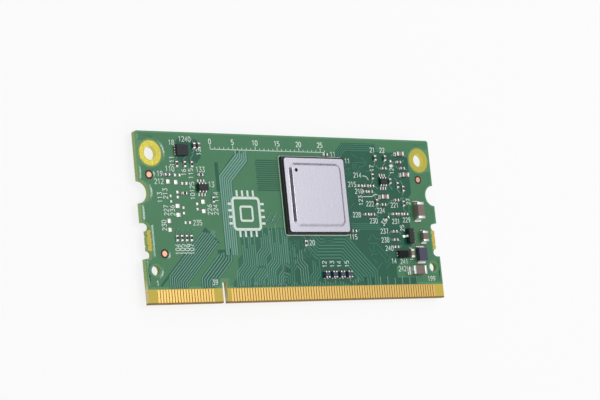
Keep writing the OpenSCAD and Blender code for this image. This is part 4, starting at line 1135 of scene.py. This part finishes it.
class MODULE_OT_stage(bpy.types.Operator):
    """Set the floor, the dark cards, the white room, the lamps and the camera"""
    bl_idname = "module.stage"
    bl_label = "Stage"

    def execute(self, context):
        scene, settings = context.scene, context.scene.module_stage
        scene.view_settings.view_transform = "Standard"
        self.floor(settings)
        self.flags()
        self.room(scene, settings)
        self.lamps(settings)
        self.camera(scene, settings)
        return {"FINISHED"}

    def sheet(self, name, size, matrix, material):
        """A flat square sheet of the stage."""
        bm = bmesh.new()
        bmesh.ops.create_grid(bm, x_segments=1, y_segments=1, size=size / 2, matrix=matrix)
        sheet = new_object(name, bm, material)
        return sheet

    def seen(self, tree):
        """Light Path, and 1 for what the eye sees, also in a mirror or through glass."""
        path = add(tree, "ShaderNodeLightPath").outputs
        seen = add(tree, "ShaderNodeMath", {
            0: path["Is Camera Ray"], 1: path["Is Glossy Ray"]}, operation="ADD")
        return path, add(tree, "ShaderNodeMath", {
            0: seen, 1: path["Is Transmission Ray"]}, operation="ADD", use_clamp=True)

    def floor(self, settings):
        """White paper, which is nearly plain white to the eye and in reflections."""
        paper, tree, shader, place = start_material("white_paper", settings.floor, 0.9)
        mottle(tree, shader, place, settings.floor, 0.01, 40.0, bump=0.02, bump_size=0.5)
        share = add(tree, "ShaderNodeMath", {0: self.seen(tree)[1], 1: settings.glow},
                    operation="MULTIPLY")
        white = add(tree, "ShaderNodeEmission", {"Color": (1.0, 1.0, 1.0, 1.0), "Strength": 1.0})
        mixed = add(tree, "ShaderNodeMixShader", {0: share, 1: shader, 2: white})
        plug(tree, tree.nodes["Material Output"], {"Surface": mixed})
        self.sheet("floor", 6.0, Matrix.Identity(4), paper)

    def flags(self):
        """Dark cards round the module, which the sloping walls of the lid mirror."""
        felt = mottled_material("black_felt", linear("#161617"), 0.95, bump=0.3, bump_size=2.0)
        for name, size, direction, distance in (
                ("left_flag", 0.42, (-0.5, 0.13, 0.86), 0.5),
                ("top_flag", 0.34, (0.6, 0.79, 0.1), 0.75),
                ("right_flag", 0.18, (0.93, 0.14, 0.33), 0.7),
                ("bottom_flag", 0.09, (0.6, -0.72, 0.34), 0.6)):
            away = Vector(direction).normalized()
            turn = away.to_track_quat("Z", "Y").to_matrix().to_4x4()
            card = self.sheet(name, size, Matrix.Translation(away * distance) @ turn, felt)
            card.visible_camera = False

    def room(self, scene, settings):
        """White walls: plain white to the eye and in reflections, and softer as a light."""
        world = bpy.data.worlds.new("white_room")
        world.use_nodes = True
        tree = world.node_tree
        path, seen = self.seen(tree)
        # The walls fade a little toward the far side, as the light in a room does
        aside = add(tree, "ShaderNodeSeparateXYZ", {
            0: add(tree, "ShaderNodeTexCoord").outputs["Generated"]}).outputs["X"]
        fade = add(tree, "ShaderNodeMapRange", {
            "Value": aside, "From Min": FADE_START, "From Max": FADE_END, "To Min": 1.0,
            "To Max": FADE_TO})
        bright = add(tree, "ShaderNodeMix", {0: path["Is Camera Ray"], 2: fade, 3: 1.0},
                     data_type="FLOAT")
        strength = add(tree, "ShaderNodeMapRange", {
            "Value": seen, "To Min": settings.room, "To Max": bright})
        plug(tree, tree.nodes["Background"], {
            "Color": (1.0, 1.0, 1.0, 1.0), "Strength": strength})
        scene.world = world

    def lamps(self, settings):
        """A softbox overhead, and a narrow strip light that only edges turned to it mirror."""
        for name, width, length, energy, place in (
                ("softbox", 0.3, 0.3, settings.softbox, (0.13, 0.1, 0.685)),
                ("strip_light", 0.05, 0.15, settings.strip, (0.237, 0.103, 0.635))):
            lamp = bpy.data.lights.new(name, "AREA")
            lamp.shape = "RECTANGLE"
            lamp.size, lamp.size_y = width, length
            lamp.energy = energy
            light = bpy.data.objects.new(name, lamp)
            light.location = place
            light.rotation_euler = Vector(place).to_track_quat("Z", "Y").to_euler()
            bpy.context.scene.collection.objects.link(light)
            # The softbox lights without a reflection, so that flat metal keeps the room's white
            light.visible_glossy = name == "strip_light"

    def camera(self, scene, settings):
        """The photograph's view of the front face."""
        lens = bpy.data.cameras.new("camera")
        lens.sensor_width = SENSOR_W
        lens.lens = settings.lens
        lens.clip_start = CLIP_NEAR
        camera = bpy.data.objects.new("camera", lens)
        right = Vector(settings.camera_right).normalized()
        back = right.cross(Vector(settings.camera_up)).normalized()
        turn = Matrix((right, back.cross(right), back)).transposed()
        camera.matrix_world = Matrix.LocRotScale(Vector(settings.camera_place), turn, None)
        scene.collection.objects.link(camera)
        scene.camera = camera


STEPS = (MODULE_OT_board, MODULE_OT_traces, MODULE_OT_print, MODULE_OT_plating,
         MODULE_OT_processor, MODULE_OT_packages, MODULE_OT_chips, MODULE_OT_solder,
         MODULE_OT_stage)
GROUPS = {"module_board": BoardSettings, "module_metal": MetalSettings,
          "module_parts": PartSettings, "module_stage": StageSettings}


class MODULE_PT_panel(bpy.types.Panel):
    """The module's steps, in order"""
    bl_label = "System on module"
    bl_idname = "MODULE_PT_panel"
    bl_space_type = "VIEW_3D"
    bl_region_type = "UI"
    bl_category = "Module"

    def draw(self, context):
        for step in STEPS:
            self.layout.operator(step.bl_idname)


CLASSES = (*GROUPS.values(), *STEPS, MODULE_PT_panel)


def register():
    for item in CLASSES:
        bpy.utils.register_class(item)
    for name, group in GROUPS.items():
        setattr(bpy.types.Scene, name, PointerProperty(type=group))


def unregister():
    for name in GROUPS:
        delattr(bpy.types.Scene, name)
    for item in reversed(CLASSES):
        bpy.utils.unregister_class(item)


def main():
    """Runs each step in order."""
    register()
    for step in STEPS:
        group, name = step.bl_idname.split(".")
        getattr(getattr(bpy.ops, group), name)()


if __name__ == "__main__":
    main()
